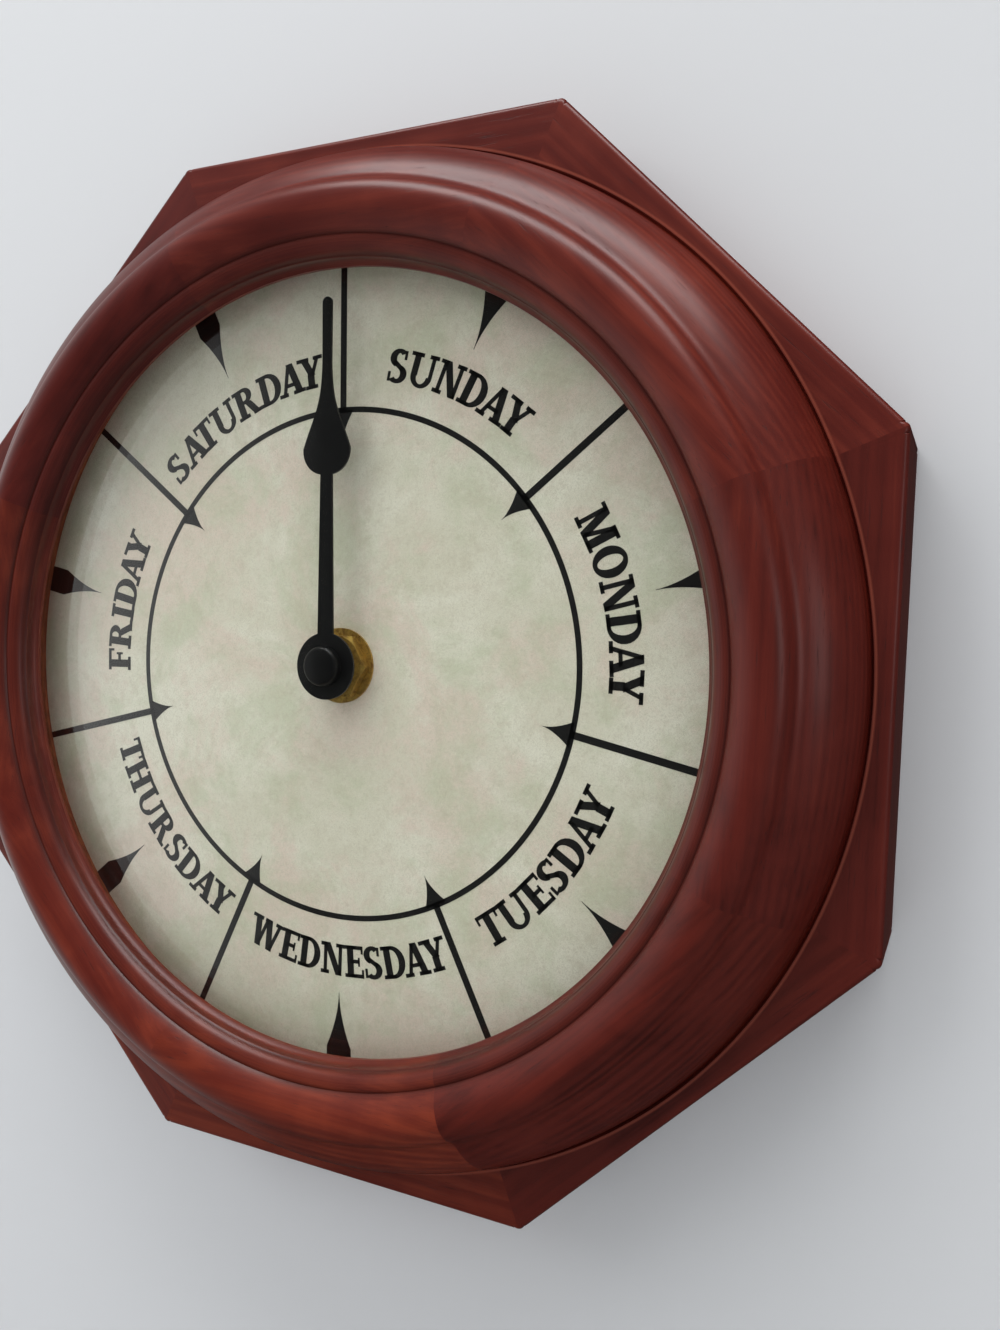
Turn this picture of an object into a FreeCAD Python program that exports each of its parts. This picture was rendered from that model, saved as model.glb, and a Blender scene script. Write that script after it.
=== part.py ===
"""Wall-hung day clock: an octagonal wooden frame, a convex glass, a seven-day dial and one
hand that goes round once a week, driven by a battery movement behind the dial.

Millimetres. +Z is up, +X is to the right seen from the front, and the clock faces -Y.
The outlines below are drawn about the hand's axis, with the wall at y = 0. Every node is
then moved so that the origin is the hole of the keyhole hanger, where the clock hangs.
"""
import FreeCAD, Part
import math
import os

V = FreeCAD.Vector
AXIS = V(0, 1, 0)

# Frame: octagon, rebates behind it and the turned moulding on its front
ACROSS_FLATS = 216.0
OCTAGON_DEPTH = 22.0
EDGE_EASE = 1.2
STAVES = 8
STAVE_SWEEP = 360.0 / STAVES
REBATE_RADIUS = 87.0
RECESS_RADIUS = 92.0
SEAT_HEIGHT = 4.6
SEAT_STEP = 0.7
LIP_RADIUS = 78.9
LIP_HEIGHT = 7.8
LIP_EDGE = 0.75

# Points of the moulding from the lip outwards: radius and height in front of the dial
COVE_MIDDLE = (79.65, 8.75)
COVE_END = (79.8, 10.3)
BEAD_START = (80.1, 10.3)
BEAD_MIDDLE = (81.05, 12.05)
BEAD_END = (83.3, 12.8)
FINE_GROOVE = (83.5, 12.45)
CREST_START = (83.7, 13.0)
CREST_RISE = (86.0, 14.9)
CREST_TOP = (89.2, 15.8)
CREST_FALL = (92.0, 15.1)
VALLEY_START = (93.6, 13.3)
VALLEY_LOW = (94.38, 12.44)
VALLEY_END = (95.4, 11.9)
SLOPE_MIDDLE = (100.5, 8.1)
V_GROOVE_IN = 103.8
V_GROOVE_OUT = 104.5
V_GROOVE_DEPTH = 0.6

# Glass, spacer ring, dial
LENS_RADIUS = 86.5
LENS_RISE = 12.4
LENS_THICKNESS = 1.5
LENS_LAND = 85.3
SPACER_INNER = 85.2
SPACER_OUTER = 86.7
PAPER = 0.3
BOARD = 3.0
BOARD_RADIUS = 86.6
DIAL_HOLE = 4.15
TAB_STAVES = (1, 3, 5, 7)
TAB_SIZE = (10.0, 12.0, 1.0)
TAB_SCREW_AT = 89.6
TAB_SCREW_RADIUS = 1.0
TAB_SCREW_LENGTH = 9.0
TAB_SCREW_HEAD = 1.3
TAB_SCREW_ROUND = 0.8
TAB_CORNER = 1.5
TAB_GAP = 0.6

# Keyhole hanger, let into the back of the top stave
HANG_HEIGHT = 98.0
KEYHOLE_RADIUS = 3.75
KEYHOLE_SLOT = 2.0
KEYHOLE_RISE = 4.8
HANGER_SIZE = (46.0, 13.6, 1.6)
HANGER_CENTRE = 100.0
HANGER_SCREW_X = 17.0
HANGER_SCREW_RADIUS = 1.2
HANGER_SCREW_LENGTH = 12.0
HANGER_SCREW_HEAD = 2.6
HANGER_SCREW_SINK = 1.3
HANGER_CORNER = 3.0
POCKET_DEPTH = 9.0
POCKET_SPARE = 0.6
POCKET_CORNER = 2.5
SCREW_END_GAP = 0.5
SCREW_SLOT = 0.5
FIT = 0.05

# Movement: a square case that stands behind the dial board
CASE_SIDE = 56.0
CASE_DEPTH = 16.0
CASE_WALL = 1.5
CASE_CORNER = 3.0
SEAL = 1.0
CASE_FRONT = -OCTAGON_DEPTH + PAPER + BOARD + SEAL
COVER = 1.5
BAY_LOW = -27.0
BAY_HIGH = -11.9
BAY_WALL = 1.2
THREAD_RADIUS = 3.95
THREAD_TIP = 3.2
THREAD_PITCH = 0.75
THREAD_DEPTH = 0.25
BUSHING_FLANGE = 5.15
BUSHING_FLANGE_THICK = 0.6
WASHER_RADIUS = 7.8
WASHER = 0.5
NUT_FLATS = 12.4
NUT = 2.1

# Hand and its arbor
HAND_HEIGHT = 5.6
HAND_SHEET = 0.5
HAND_LENGTH = 74.1
HAND_AT_REST = -1.5
HAND_STEM_LOW = 1.83
HAND_STEM_HIGH = (1.38, 38.7)
HAND_PEAR = ((4.4, 40.4), (5.55, 44.0))
HAND_TAPER = ((3.35, 49.4), (1.95, 53.3), (1.25, 57.4), (1.05, 61.5))
HAND_TIP = 1.1
HUB_RADIUS = 6.8
ARBOR_RADIUS = 1.6
ARBOR_BORE = 1.66
ARBOR_TIP = 7.6
CAP_RADIUS = 4.05
CAP_HEIGHT = 2.5
CAP_ROUND = 1.1
COLLET_RADIUS = 5.6
COLLET_NECK = 3.0
COLLET_FLANGE = 0.7
COLLET_GAP = 0.4

# Wheels: module, teeth, and stub teeth that leave backlash
HAND_MODULE = 0.4
MOTOR_MODULE = 0.3
DAY_TEETH = 49
IDLER_PINION = 14
IDLER_TEETH = 52
SET_PINION = 13
MOTOR_WHEEL = 48
MOTOR_PINION = 12
ADDENDUM = 0.8
DEDENDUM = 1.05
TOOTH_ROOT = 0.56
TOOTH_TIP = 0.24
IDLER_DIRECTION = 55.0
SECOND_DIRECTION = 261.0
ROTOR_DIRECTION = 244.0
PIVOT_RADIUS = 0.5
PIVOT_BORE = 0.55
PLATE_AT = 11.3
PLATE = 1.0
PIVOT_FRONT = 0.8
SHOULDER_FRONT = CASE_WALL + 0.15
SHOULDER_REAR = PLATE_AT - 0.2
RIM = 1.6
SPOKE_EDGE = 0.4
WHEEL_HOLES = 5

# Where each wheel stands, as depths behind the case's front, and what it turns on
DAY_WHEEL_AT = (2.5, 3.7)
DAY_COLLAR = 3.0
DAY_COLLAR_START = 2.2
DAY_COLLAR_END = 4.2
ARBOR_STEP = 1.0
IDLER_PINION_AT = (2.3, 4.5)
IDLER_WHEEL_AT = (4.7, 5.7)
IDLER_HUB = 2.2
IDLER_ARBOR = 0.7
HUB_STANDS = 0.5
SET_PINION_AT = (4.3, 6.4)
SET_ARBOR = 0.9
SET_ARBOR_BORE = 0.96
SET_ARBOR_END = CASE_DEPTH + 0.2
DRIVE_WHEEL_AT = (7.2, 8.2)
DRIVE_HUB = 2.0
CLUTCH_SPRING = (1.8, 3.0, 0.5)
CLUTCH_GAP = 0.3
SECOND_PINION_AT = (6.9, 9.4)
SECOND_WHEEL_AT = (9.4, 10.2)
SECOND_HUB = 1.8
SECOND_ARBOR = 0.6
ROTOR_PINION_AT = (9.1, 10.6)
ROTOR_ARBOR = 0.7
MAGNET_RADIUS = 2.6
MAGNET_AT = (4.0, 8.0)
KNOB_RADIUS = 4.3
KNOB_AT = (13.9, CASE_DEPTH + 0.7)
KNOB_SCALLOPS = 12
KNOB_SCALLOP = 0.6
WELL_OUTER = 7.4
WELL_INNER = 6.4
WELL_FLOOR = (PLATE_AT + PLATE + 0.3, 13.6)
POSTS = ((-23.0, 23.0), (23.0, 23.0), (23.0, -7.5), (-8.7, -9.2))
POST_RADIUS = 1.3

# Battery, AA size, lying along the bottom of the case
BATTERY_RADIUS = 7.25
BATTERY_LENGTH = 50.5
BATTERY_NUB = 1.2
BATTERY_LEFT = -24.9
BATTERY_AT = (8.95, -19.5)


def front(height):
    """y of a height in front of the dial."""
    return -OCTAGON_DEPTH - height


def inside(depth):
    """y of a depth behind the front face of the movement's case."""
    return CASE_FRONT + depth


def around(radius, clock_deg):
    """(x, z) at a clock angle, clockwise from the top as seen from the front."""
    turn = math.radians(clock_deg)
    return radius * math.sin(turn), radius * math.cos(turn)


def disc(radius, y0, y1, centre=(0, 0)):
    return Part.makeCylinder(radius, y1 - y0, V(centre[0], y0, centre[1]), AXIS)


def ring(outer, inner, y0, y1, centre=(0, 0)):
    return disc(outer, y0, y1, centre).cut(disc(inner, y0 - 1, y1 + 1, centre))


def block(x0, x1, y0, y1, z0, z1):
    return Part.makeBox(x1 - x0, y1 - y0, z1 - z0, V(x0, y0, z0))


def rounded_block(x0, x1, y0, y1, z0, z1, corner):
    body = block(x0, x1, y0, y1, z0, z1)
    edges = [e for e in body.Edges if abs(e.tangentAt(e.FirstParameter).y) > 0.99]
    return body.makeFillet(corner, edges)


def polygon_face(points):
    """Flat face from (x, z) points, in the plane y = 0."""
    corners = [V(x, 0, z) for x, z in points]
    return Part.Face(Part.makePolygon(corners + corners[:1]))


def plate(face, y0, y1):
    body = face.extrude(V(0, y1 - y0, 0))
    body.translate(V(0, y0, 0))
    return body


def section(start, steps):
    """Face in the plane x = 0 from (radius, y) steps: a point for a line, two for an arc."""
    edges = []
    here = V(0, start[1], start[0])
    for step in list(steps) + [(start,)]:
        there = [V(0, y, radius) for radius, y in step]
        if len(there) == 1:
            edges.append(Part.LineSegment(here, there[0]).toShape())
        else:
            edges.append(Part.Arc(here, there[0], there[1]).toShape())
        here = there[-1]
    return Part.Face(Part.Wire(edges))


def turned(start, steps, sweep=360.0):
    """Section revolved about the hand's axis, its sweep centred on the top."""
    face = section(start, steps)
    face.rotate(V(0, 0, 0), AXIS, -sweep / 2)
    return face.revolve(V(0, 0, 0), AXIS, sweep)


def at_angle(shape, clock_deg):
    copy = shape.copy()
    copy.rotate(V(0, 0, 0), AXIS, clock_deg)
    return copy


# Frame

def octagon():
    """Solid octagonal prism with flats at the top, bottom and sides and eased front edges."""
    circumradius = ACROSS_FLATS / 2 / math.cos(math.pi / STAVES)
    corners = [around(circumradius, (k + 0.5) * STAVE_SWEEP) for k in range(STAVES)]
    prism = plate(polygon_face(corners), front(2 * LENS_RISE), 0)
    slab = plate(polygon_face(corners), front(0), 0)
    rim = [e for e in slab.Edges if abs(e.CenterOfMass.y - front(0)) < 0.01]
    uprights = [e for e in slab.Edges if abs(e.tangentAt(e.FirstParameter).y) > 0.99]
    slab = slab.makeFillet(EDGE_EASE, rim + uprights)
    return slab.fuse(prism.common(disc(V_GROOVE_IN + 1, front(2 * LENS_RISE), 0)))


def stave_profile():
    """Section of the frame: rebates behind, lip, beads, slope, fine groove and flat."""

    def at(*points):
        return [(radius, front(height)) for radius, height in points]

    outside = ACROSS_FLATS
    groove_middle = (V_GROOVE_IN + V_GROOVE_OUT) / 2
    start = (RECESS_RADIUS, 0)
    steps = [
        at((RECESS_RADIUS, -PAPER - BOARD)),
        at((REBATE_RADIUS, -PAPER - BOARD)),
        at((REBATE_RADIUS, SEAT_HEIGHT)),
        at((SPACER_INNER, SEAT_HEIGHT)),
        at((SPACER_INNER, SEAT_HEIGHT + SEAT_STEP)),
        at((LIP_RADIUS, LIP_HEIGHT - LIP_EDGE)),
        at((LIP_RADIUS, LIP_HEIGHT)),
        at(COVE_MIDDLE, COVE_END),
        at(BEAD_START),
        at(BEAD_MIDDLE, BEAD_END),
        at(FINE_GROOVE),
        at(CREST_START),
        at(CREST_RISE, CREST_TOP),
        at(CREST_FALL, VALLEY_START),
        at(VALLEY_LOW, VALLEY_END),
        at(SLOPE_MIDDLE, (V_GROOVE_IN, 0)),
        at((groove_middle, -V_GROOVE_DEPTH)),
        at((V_GROOVE_OUT, 0)),
        at((outside, 0)),
        [(outside, 0)],
    ]
    return start, steps


def plain_stave():
    """One of eight mitred staves, the top one, before any screw holes."""
    start, steps = stave_profile()
    return turned(start, steps, STAVE_SWEEP).common(octagon())


def tab_screw():
    """Round-headed wood screw through a retaining tab, in the plane of the top stave."""
    tab_back = front(-PAPER - BOARD) + TAB_SIZE[2]
    shank = disc(TAB_SCREW_RADIUS, tab_back - TAB_SCREW_LENGTH, tab_back, (0, TAB_SCREW_AT))
    top = tab_back + TAB_SCREW_HEAD
    head = disc(2 * TAB_SCREW_RADIUS, tab_back, top, (0, TAB_SCREW_AT))
    crown = [e for e in head.Edges if abs(e.CenterOfMass.y - top) < 0.01]
    slot = screw_slot(0, TAB_SCREW_AT, top)
    return shank.fuse(head.makeFillet(TAB_SCREW_ROUND, crown).cut(slot)).removeSplitter()


def screw_slot(x, z, top):
    """Room for a screwdriver across a screw's head."""
    half = SCREW_SLOT / 2
    return block(x - 5, x + 5, top - SCREW_SLOT, top + 1, z - half, z + half)


def hanger_screw(x):
    """Countersunk wood screw that holds the hanger plate."""
    tip = -HANGER_SCREW_LENGTH
    shank = disc(HANGER_SCREW_RADIUS, tip, -HANGER_SCREW_SINK, (x, HANGER_CENTRE))
    head = hanger_screw_cone(x, 0)
    return shank.fuse(head.cut(screw_slot(x, HANGER_CENTRE, -2 * FIT))).removeSplitter()


def hanger_screw_cone(x, spare):
    """Countersunk head, which stops a little below the plate's back."""
    foot = V(x, -HANGER_SCREW_SINK, HANGER_CENTRE)
    height = HANGER_SCREW_SINK - 2 * FIT
    return Part.makeCone(HANGER_SCREW_RADIUS + spare, HANGER_SCREW_HEAD + spare, height, foot, AXIS)


def hanger_screw_hole(x):
    """Room for one countersunk screw, open at the back."""
    shank = disc(HANGER_SCREW_RADIUS + FIT, -HANGER_SCREW_LENGTH - SCREW_END_GAP, 0, (x, HANGER_CENTRE))
    head = hanger_screw_cone(x, FIT)
    mouth = disc(HANGER_SCREW_HEAD + FIT, -2 * FIT, 1, (x, HANGER_CENTRE))
    return shank.fuse(head).fuse(mouth)


def hanger_blank(spare, y0, y1):
    width, height, _ = HANGER_SIZE
    half_x = width / 2 + spare
    half_z = height / 2 + spare
    low = HANGER_CENTRE - half_z
    high = HANGER_CENTRE + half_z
    return rounded_block(-half_x, half_x, y0, y1, low, high, HANGER_CORNER)


def keyhole_hanger():
    """Steel plate with the hole for the screw's head and the slot that drops over its neck."""
    body = hanger_blank(-FIT, -HANGER_SIZE[2], 0)
    slot_top = HANG_HEIGHT + KEYHOLE_RISE
    cuts = disc(KEYHOLE_RADIUS, -3, 1, (0, HANG_HEIGHT))
    cuts = cuts.fuse(disc(KEYHOLE_SLOT, -3, 1, (0, slot_top)))
    cuts = cuts.fuse(block(-KEYHOLE_SLOT, KEYHOLE_SLOT, -3, 1, HANG_HEIGHT, slot_top))
    for x in (-HANGER_SCREW_X, HANGER_SCREW_X):
        cuts = cuts.fuse(hanger_screw_hole(x))
    return body.cut(cuts)


def hanger_recess():
    """Wood cut away behind the hanger: its seat, the pocket for the screw's head, screw holes."""
    seat = hanger_blank(0, -HANGER_SIZE[2], 1)
    half = KEYHOLE_RADIUS + POCKET_SPARE
    low = HANG_HEIGHT - KEYHOLE_RADIUS - POCKET_SPARE
    high = HANG_HEIGHT + KEYHOLE_RISE + KEYHOLE_RADIUS
    pocket = rounded_block(-half, half, -POCKET_DEPTH, 1, low, high, POCKET_CORNER)
    cuts = seat.fuse(pocket)
    for x in (-HANGER_SCREW_X, HANGER_SCREW_X):
        cuts = cuts.fuse(hanger_screw_hole(x))
    return cuts


def frame_staves():
    """The eight staves by name, clockwise from the top."""
    names = ("top", "upper_right", "right", "lower_right", "bottom", "lower_left", "left", "upper_left")
    plain = plain_stave()
    tab_back = front(-PAPER - BOARD) + TAB_SIZE[2]
    hole_end = tab_back - TAB_SCREW_LENGTH - SCREW_END_GAP
    hole = disc(TAB_SCREW_RADIUS + FIT, hole_end, 0, (0, TAB_SCREW_AT))
    drilled = plain.cut(hole)
    staves = {}
    for k, name in enumerate(names):
        stave = drilled if k in TAB_STAVES else plain
        if name == "top":
            stave = stave.cut(hanger_recess())
        staves["frame_stave_" + name] = at_angle(stave, k * STAVE_SWEEP)
    return staves


# Glass and dial

def glass_sphere():
    """Radius of the glass's outer face, and the height of its centre above the dial."""
    bend = (LENS_RADIUS ** 2 + LENS_RISE ** 2) / (2 * LENS_RISE)
    return bend, SEAT_HEIGHT + LENS_RISE - bend


def dome_height(radius, depth=0.0):
    """Height above the dial of the glass's face, or of one parallel to it behind."""
    bend, centre = glass_sphere()
    return centre + math.sqrt((bend - depth) ** 2 - radius ** 2)


def convex_lens():
    """Domed glass with a flat ground edge on both faces where it is held."""

    def outer(radius):
        return radius, front(dome_height(radius))

    def inner(radius):
        return radius, front(dome_height(radius, LENS_THICKNESS))

    land = inner(LENS_LAND)
    steps = [
        [inner(LENS_LAND / 2), land],
        [(LENS_RADIUS, land[1])],
        [(LENS_RADIUS, front(SEAT_HEIGHT))],
        [(SPACER_INNER, front(SEAT_HEIGHT))],
        [outer(SPACER_INNER)],
        [outer(SPACER_INNER / 2), outer(0)],
    ]
    return turned(inner(0), steps)


def lens_spacer_ring():
    """Strip bent into a ring that stands between the dial and the glass's rim."""
    return ring(SPACER_OUTER, SPACER_INNER, front(dome_height(LENS_LAND, LENS_THICKNESS)), front(0))


def dial_face():
    return ring(BOARD_RADIUS, DIAL_HOLE, front(0), front(-PAPER))


def dial_board():
    return ring(BOARD_RADIUS, DIAL_HOLE, front(-PAPER), front(-PAPER - BOARD))


def dial_tab():
    """Flat steel tab, screwed to the frame's shoulder and lapping over the dial board."""
    width, reach, thick = TAB_SIZE
    high = RECESS_RADIUS - TAB_GAP
    back = front(-PAPER - BOARD)
    tab = rounded_block(-width / 2, width / 2, back, back + thick, high - reach, high, TAB_CORNER)
    return tab.cut(disc(TAB_SCREW_RADIUS + FIT, back - 1, back + thick + 1, (0, TAB_SCREW_AT)))


def on_tab_staves(shape):
    return Part.makeCompound([at_angle(shape, k * STAVE_SWEEP) for k in TAB_STAVES])


# Fixing through the dial

def rubber_washer():
    return ring(WASHER_RADIUS, THREAD_RADIUS + FIT, CASE_FRONT - SEAL, CASE_FRONT)


def threaded_bushing():
    """Brass tube that carries the hand's arbor, with a flange inside the case's front."""
    tube = disc(THREAD_RADIUS, front(THREAD_TIP), inside(CASE_WALL))
    flange = disc(BUSHING_FLANGE, inside(CASE_WALL), inside(CASE_WALL + BUSHING_FLANGE_THICK))
    body = tube.fuse(flange)
    turns = int((THREAD_TIP + PAPER + BOARD) / THREAD_PITCH)
    for k in range(turns):
        y = front(THREAD_TIP - (k + 0.5) * THREAD_PITCH)
        body = body.cut(ring(THREAD_RADIUS + 1, THREAD_RADIUS - THREAD_DEPTH, y, y + THREAD_DEPTH))
    return body.cut(disc(ARBOR_BORE, front(10), inside(5))).removeSplitter()


def brass_washer():
    return ring(WASHER_RADIUS, THREAD_RADIUS + FIT, front(WASHER), front(0))


def hex_nut():
    """Brass nut with a corner to the right and its front corners turned off."""
    corner = NUT_FLATS / 2 / math.cos(math.pi / 6)
    face = polygon_face([around(corner, 30 + 60 * k) for k in range(6)])
    body = plate(face, front(WASHER + NUT), front(WASHER))
    cone_tip = front(WASHER + NUT + 0.05)
    bevel = Part.makeCone(NUT_FLATS / 2, corner + 1.6, 1.6, V(0, cone_tip, 0), AXIS)
    skirt = disc(corner + 1.6, cone_tip + 1.6, front(0))
    return body.common(bevel.fuse(skirt)).cut(disc(THREAD_RADIUS + FIT, front(9), front(0)))


# Hand

def hand_outline():
    """Right-hand edge of the hand as (x, z): a slim stem, a pear and a long narrow point."""
    stem_low = (HAND_STEM_LOW, math.sqrt(HUB_RADIUS ** 2 - HAND_STEM_LOW ** 2))
    pear = (HAND_STEM_HIGH,) + HAND_PEAR
    taper = HAND_PEAR[-1:] + HAND_TAPER
    tip = (HAND_TIP, HAND_LENGTH - HAND_TIP)
    return stem_low, pear, taper, tip


def hand_side(sign):
    """Edges of one side of the hand, from the hub up to its tip."""
    stem_low, pear, taper, tip = hand_outline()

    def point(xz):
        return V(sign * xz[0], 0, xz[1])

    curve = Part.BSplineCurve()
    curve.interpolate([point(p) for p in taper])
    return [
        Part.LineSegment(point(stem_low), point(pear[0])).toShape(),
        Part.Arc(point(pear[0]), point(pear[1]), point(pear[2])).toShape(),
        curve.toShape(),
        Part.LineSegment(point(taper[-1]), point(tip)).toShape(),
    ]


def day_hand():
    """Stamped sheet hand with a round hub, turned to where it points at rest."""
    stem_low, _, _, tip = hand_outline()
    left_tip = V(-tip[0], 0, tip[1])
    right_tip = V(tip[0], 0, tip[1])
    top = Part.Arc(left_tip, V(0, 0, HAND_LENGTH), right_tip).toShape()
    left_low = V(-stem_low[0], 0, stem_low[1])
    right_low = V(stem_low[0], 0, stem_low[1])
    hub = Part.Arc(left_low, V(0, 0, -HUB_RADIUS), right_low).toShape()
    wire = Part.Wire(Part.__sortEdges__(hand_side(-1) + [top] + hand_side(1) + [hub]))
    blade = plate(Part.Face(wire), front(HAND_HEIGHT + HAND_SHEET), front(HAND_HEIGHT))
    return at_angle(blade.cut(hand_bore()), HAND_AT_REST)


def hand_bore():
    """Room for the arbor through everything that sits on it in front of the dial."""
    return disc(ARBOR_RADIUS + FIT, front(2 * LENS_RISE), front(0))


def hand_bushing():
    """Collet riveted behind the hand, gripping the arbor."""
    step = HAND_HEIGHT - COLLET_FLANGE
    flange = disc(COLLET_RADIUS, front(HAND_HEIGHT), front(step))
    neck = disc(COLLET_NECK, front(step), front(THREAD_TIP + COLLET_GAP))
    return flange.fuse(neck).cut(hand_bore())


def cap_nut():
    """Closed domed nut over the arbor's tip."""
    low = HAND_HEIGHT + HAND_SHEET
    body = disc(CAP_RADIUS, front(low + CAP_HEIGHT), front(low))
    crown = [e for e in body.Edges if abs(e.CenterOfMass.y - front(low + CAP_HEIGHT)) < 0.01]
    body = body.makeFillet(CAP_ROUND, crown)
    return body.cut(disc(ARBOR_RADIUS + FIT, front(ARBOR_TIP + 2 * FIT), front(0)))


def day_arbor():
    """Stepped steel arbor from the rear pivot through the bushing to the hand."""
    body = disc(ARBOR_RADIUS, front(ARBOR_TIP), inside(DAY_COLLAR_END))
    body = body.fuse(disc(ARBOR_STEP, inside(DAY_COLLAR_END), inside(SHOULDER_REAR)))
    return body.fuse(disc(PIVOT_RADIUS, inside(SHOULDER_REAR), inside(PLATE_AT + PLATE)))


# Wheels

def wheel_at(teeth, pinion, module, origin, clock_deg):
    """Centre of a wheel meshing with one at origin, in a clock direction from it."""
    x, z = around(module * (teeth + pinion) / 2, clock_deg)
    return origin[0] + x, origin[1] + z


IDLER = wheel_at(DAY_TEETH, IDLER_PINION, HAND_MODULE, (0, 0), IDLER_DIRECTION)
SET_DISTANCE = HAND_MODULE * (IDLER_TEETH + SET_PINION) / 2
SETTER = (0, IDLER[1] + math.sqrt(SET_DISTANCE ** 2 - IDLER[0] ** 2))
SECOND = wheel_at(MOTOR_WHEEL, MOTOR_PINION, MOTOR_MODULE, SETTER, SECOND_DIRECTION)
ROTOR = wheel_at(MOTOR_WHEEL, MOTOR_PINION, MOTOR_MODULE, SECOND, ROTOR_DIRECTION)


def direction(origin, target):
    return math.degrees(math.atan2(target[0] - origin[0], target[1] - origin[1]))


def toothed(teeth, module, depths, centre, tooth_at):
    """Wheel with straight-sided stub teeth, one of them centred on the angle tooth_at."""
    pitch = 360.0 / teeth
    middle = module * teeth / 2
    root = middle - DEDENDUM * module
    tip = middle + ADDENDUM * module
    corners = ((-TOOTH_ROOT / 2, root), (-TOOTH_TIP / 2, tip), (TOOTH_TIP / 2, tip), (TOOTH_ROOT / 2, root))
    points = []
    for k in range(teeth):
        for share, radius in corners:
            x, z = around(radius, tooth_at + (k + share) * pitch)
            points.append((centre[0] + x, centre[1] + z))
    return plate(polygon_face(points), inside(depths[0]), inside(depths[1]))


def spoked(wheel, teeth, module, depths, centre, hub):
    """Wheel lightened with round holes between its hub and its rim."""
    middle = module * teeth / 2
    hole = (middle - RIM - hub) / 2 - SPOKE_EDGE
    y0 = inside(depths[0]) - 1
    y1 = inside(depths[1]) + 1
    for k in range(WHEEL_HOLES):
        x, z = around(hub + SPOKE_EDGE + hole, 360 / WHEEL_HOLES * k)
        wheel = wheel.cut(disc(hole, y0, y1, (centre[0] + x, centre[1] + z)))
    return wheel


def day_wheel():
    """Wheel on the hand's arbor, with the collar that rides behind the bushing's flange."""
    teeth = toothed(DAY_TEETH, HAND_MODULE, DAY_WHEEL_AT, (0, 0), IDLER_DIRECTION)
    teeth = spoked(teeth, DAY_TEETH, HAND_MODULE, DAY_WHEEL_AT, (0, 0), DAY_COLLAR)
    collar = disc(DAY_COLLAR, inside(DAY_COLLAR_START), inside(DAY_COLLAR_END))
    return teeth.fuse(collar).cut(disc(ARBOR_RADIUS, inside(0), inside(6)))


def idler_arbor():
    return arbor(IDLER, IDLER_ARBOR)


def front_pivot(centre):
    return disc(PIVOT_RADIUS, inside(PIVOT_FRONT), inside(SHOULDER_FRONT), centre)


def arbor(centre, radius):
    """Steel arbor with a pivot at each end, in the case's front and in the train plate."""
    body = disc(radius, inside(SHOULDER_FRONT), inside(SHOULDER_REAR), centre)
    body = body.fuse(front_pivot(centre))
    return body.fuse(disc(PIVOT_RADIUS, inside(SHOULDER_REAR), inside(PLATE_AT + PLATE), centre))


def idler_pinion():
    tooth = IDLER_DIRECTION + 180 + 180.0 / IDLER_PINION
    body = toothed(IDLER_PINION, HAND_MODULE, IDLER_PINION_AT, IDLER, tooth)
    return body.cut(disc(IDLER_ARBOR, inside(0), inside(9), IDLER))


def idler_wheel():
    hub = disc(IDLER_HUB, inside(IDLER_PINION_AT[1]), inside(IDLER_WHEEL_AT[1] + HUB_STANDS), IDLER)
    to_setter = direction(IDLER, SETTER)
    body = toothed(IDLER_TEETH, HAND_MODULE, IDLER_WHEEL_AT, IDLER, to_setter)
    body = spoked(body, IDLER_TEETH, HAND_MODULE, IDLER_WHEEL_AT, IDLER, IDLER_HUB)
    return body.fuse(hub).cut(disc(IDLER_ARBOR, inside(0), inside(9), IDLER))


def set_arbor():
    """Arbor that carries the drive wheel on a friction clutch and ends in the set knob."""
    return disc(SET_ARBOR, inside(SHOULDER_FRONT), inside(SET_ARBOR_END), SETTER).fuse(front_pivot(SETTER))


def set_pinion():
    tooth = direction(SETTER, IDLER) + 180.0 / SET_PINION
    body = toothed(SET_PINION, HAND_MODULE, SET_PINION_AT, SETTER, tooth)
    return body.cut(disc(SET_ARBOR, inside(0), inside(9), SETTER))


def set_knob():
    """Thumb knob with a scalloped edge, in the well of the rear cover."""
    y0 = inside(KNOB_AT[0])
    y1 = inside(KNOB_AT[1])
    body = disc(KNOB_RADIUS, y0, y1, SETTER)
    for k in range(KNOB_SCALLOPS):
        x, z = around(KNOB_RADIUS + KNOB_SCALLOP / 2, 360 / KNOB_SCALLOPS * k)
        body = body.cut(disc(KNOB_SCALLOP, y0 - 1, y1 + 1, (SETTER[0] + x, SETTER[1] + z)))
    return body.cut(disc(SET_ARBOR, inside(9), inside(SET_ARBOR_END), SETTER))


def clutch_spring():
    """Dished friction washer that presses the drive wheel onto the set arbor's collar."""
    low, high, rise = CLUTCH_SPRING
    foot = V(SETTER[0], inside(DRIVE_WHEEL_AT[1] + CLUTCH_GAP), SETTER[1])
    return Part.makeCone(low, high, rise, foot, AXIS).cut(disc(SET_ARBOR, inside(7), inside(10), SETTER))


def drive_wheel():
    tooth = direction(SETTER, SECOND)
    body = toothed(MOTOR_WHEEL, MOTOR_MODULE, DRIVE_WHEEL_AT, SETTER, tooth)
    body = spoked(body, MOTOR_WHEEL, MOTOR_MODULE, DRIVE_WHEEL_AT, SETTER, DRIVE_HUB)
    return body.cut(disc(SET_ARBOR_BORE, inside(0), inside(PLATE_AT), SETTER))


def second_arbor():
    return arbor(SECOND, SECOND_ARBOR)


def second_pinion():
    tooth = direction(SECOND, SETTER) + 180.0 / MOTOR_PINION
    body = toothed(MOTOR_PINION, MOTOR_MODULE, SECOND_PINION_AT, SECOND, tooth)
    return body.cut(disc(SECOND_ARBOR, inside(0), inside(12), SECOND))


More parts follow.
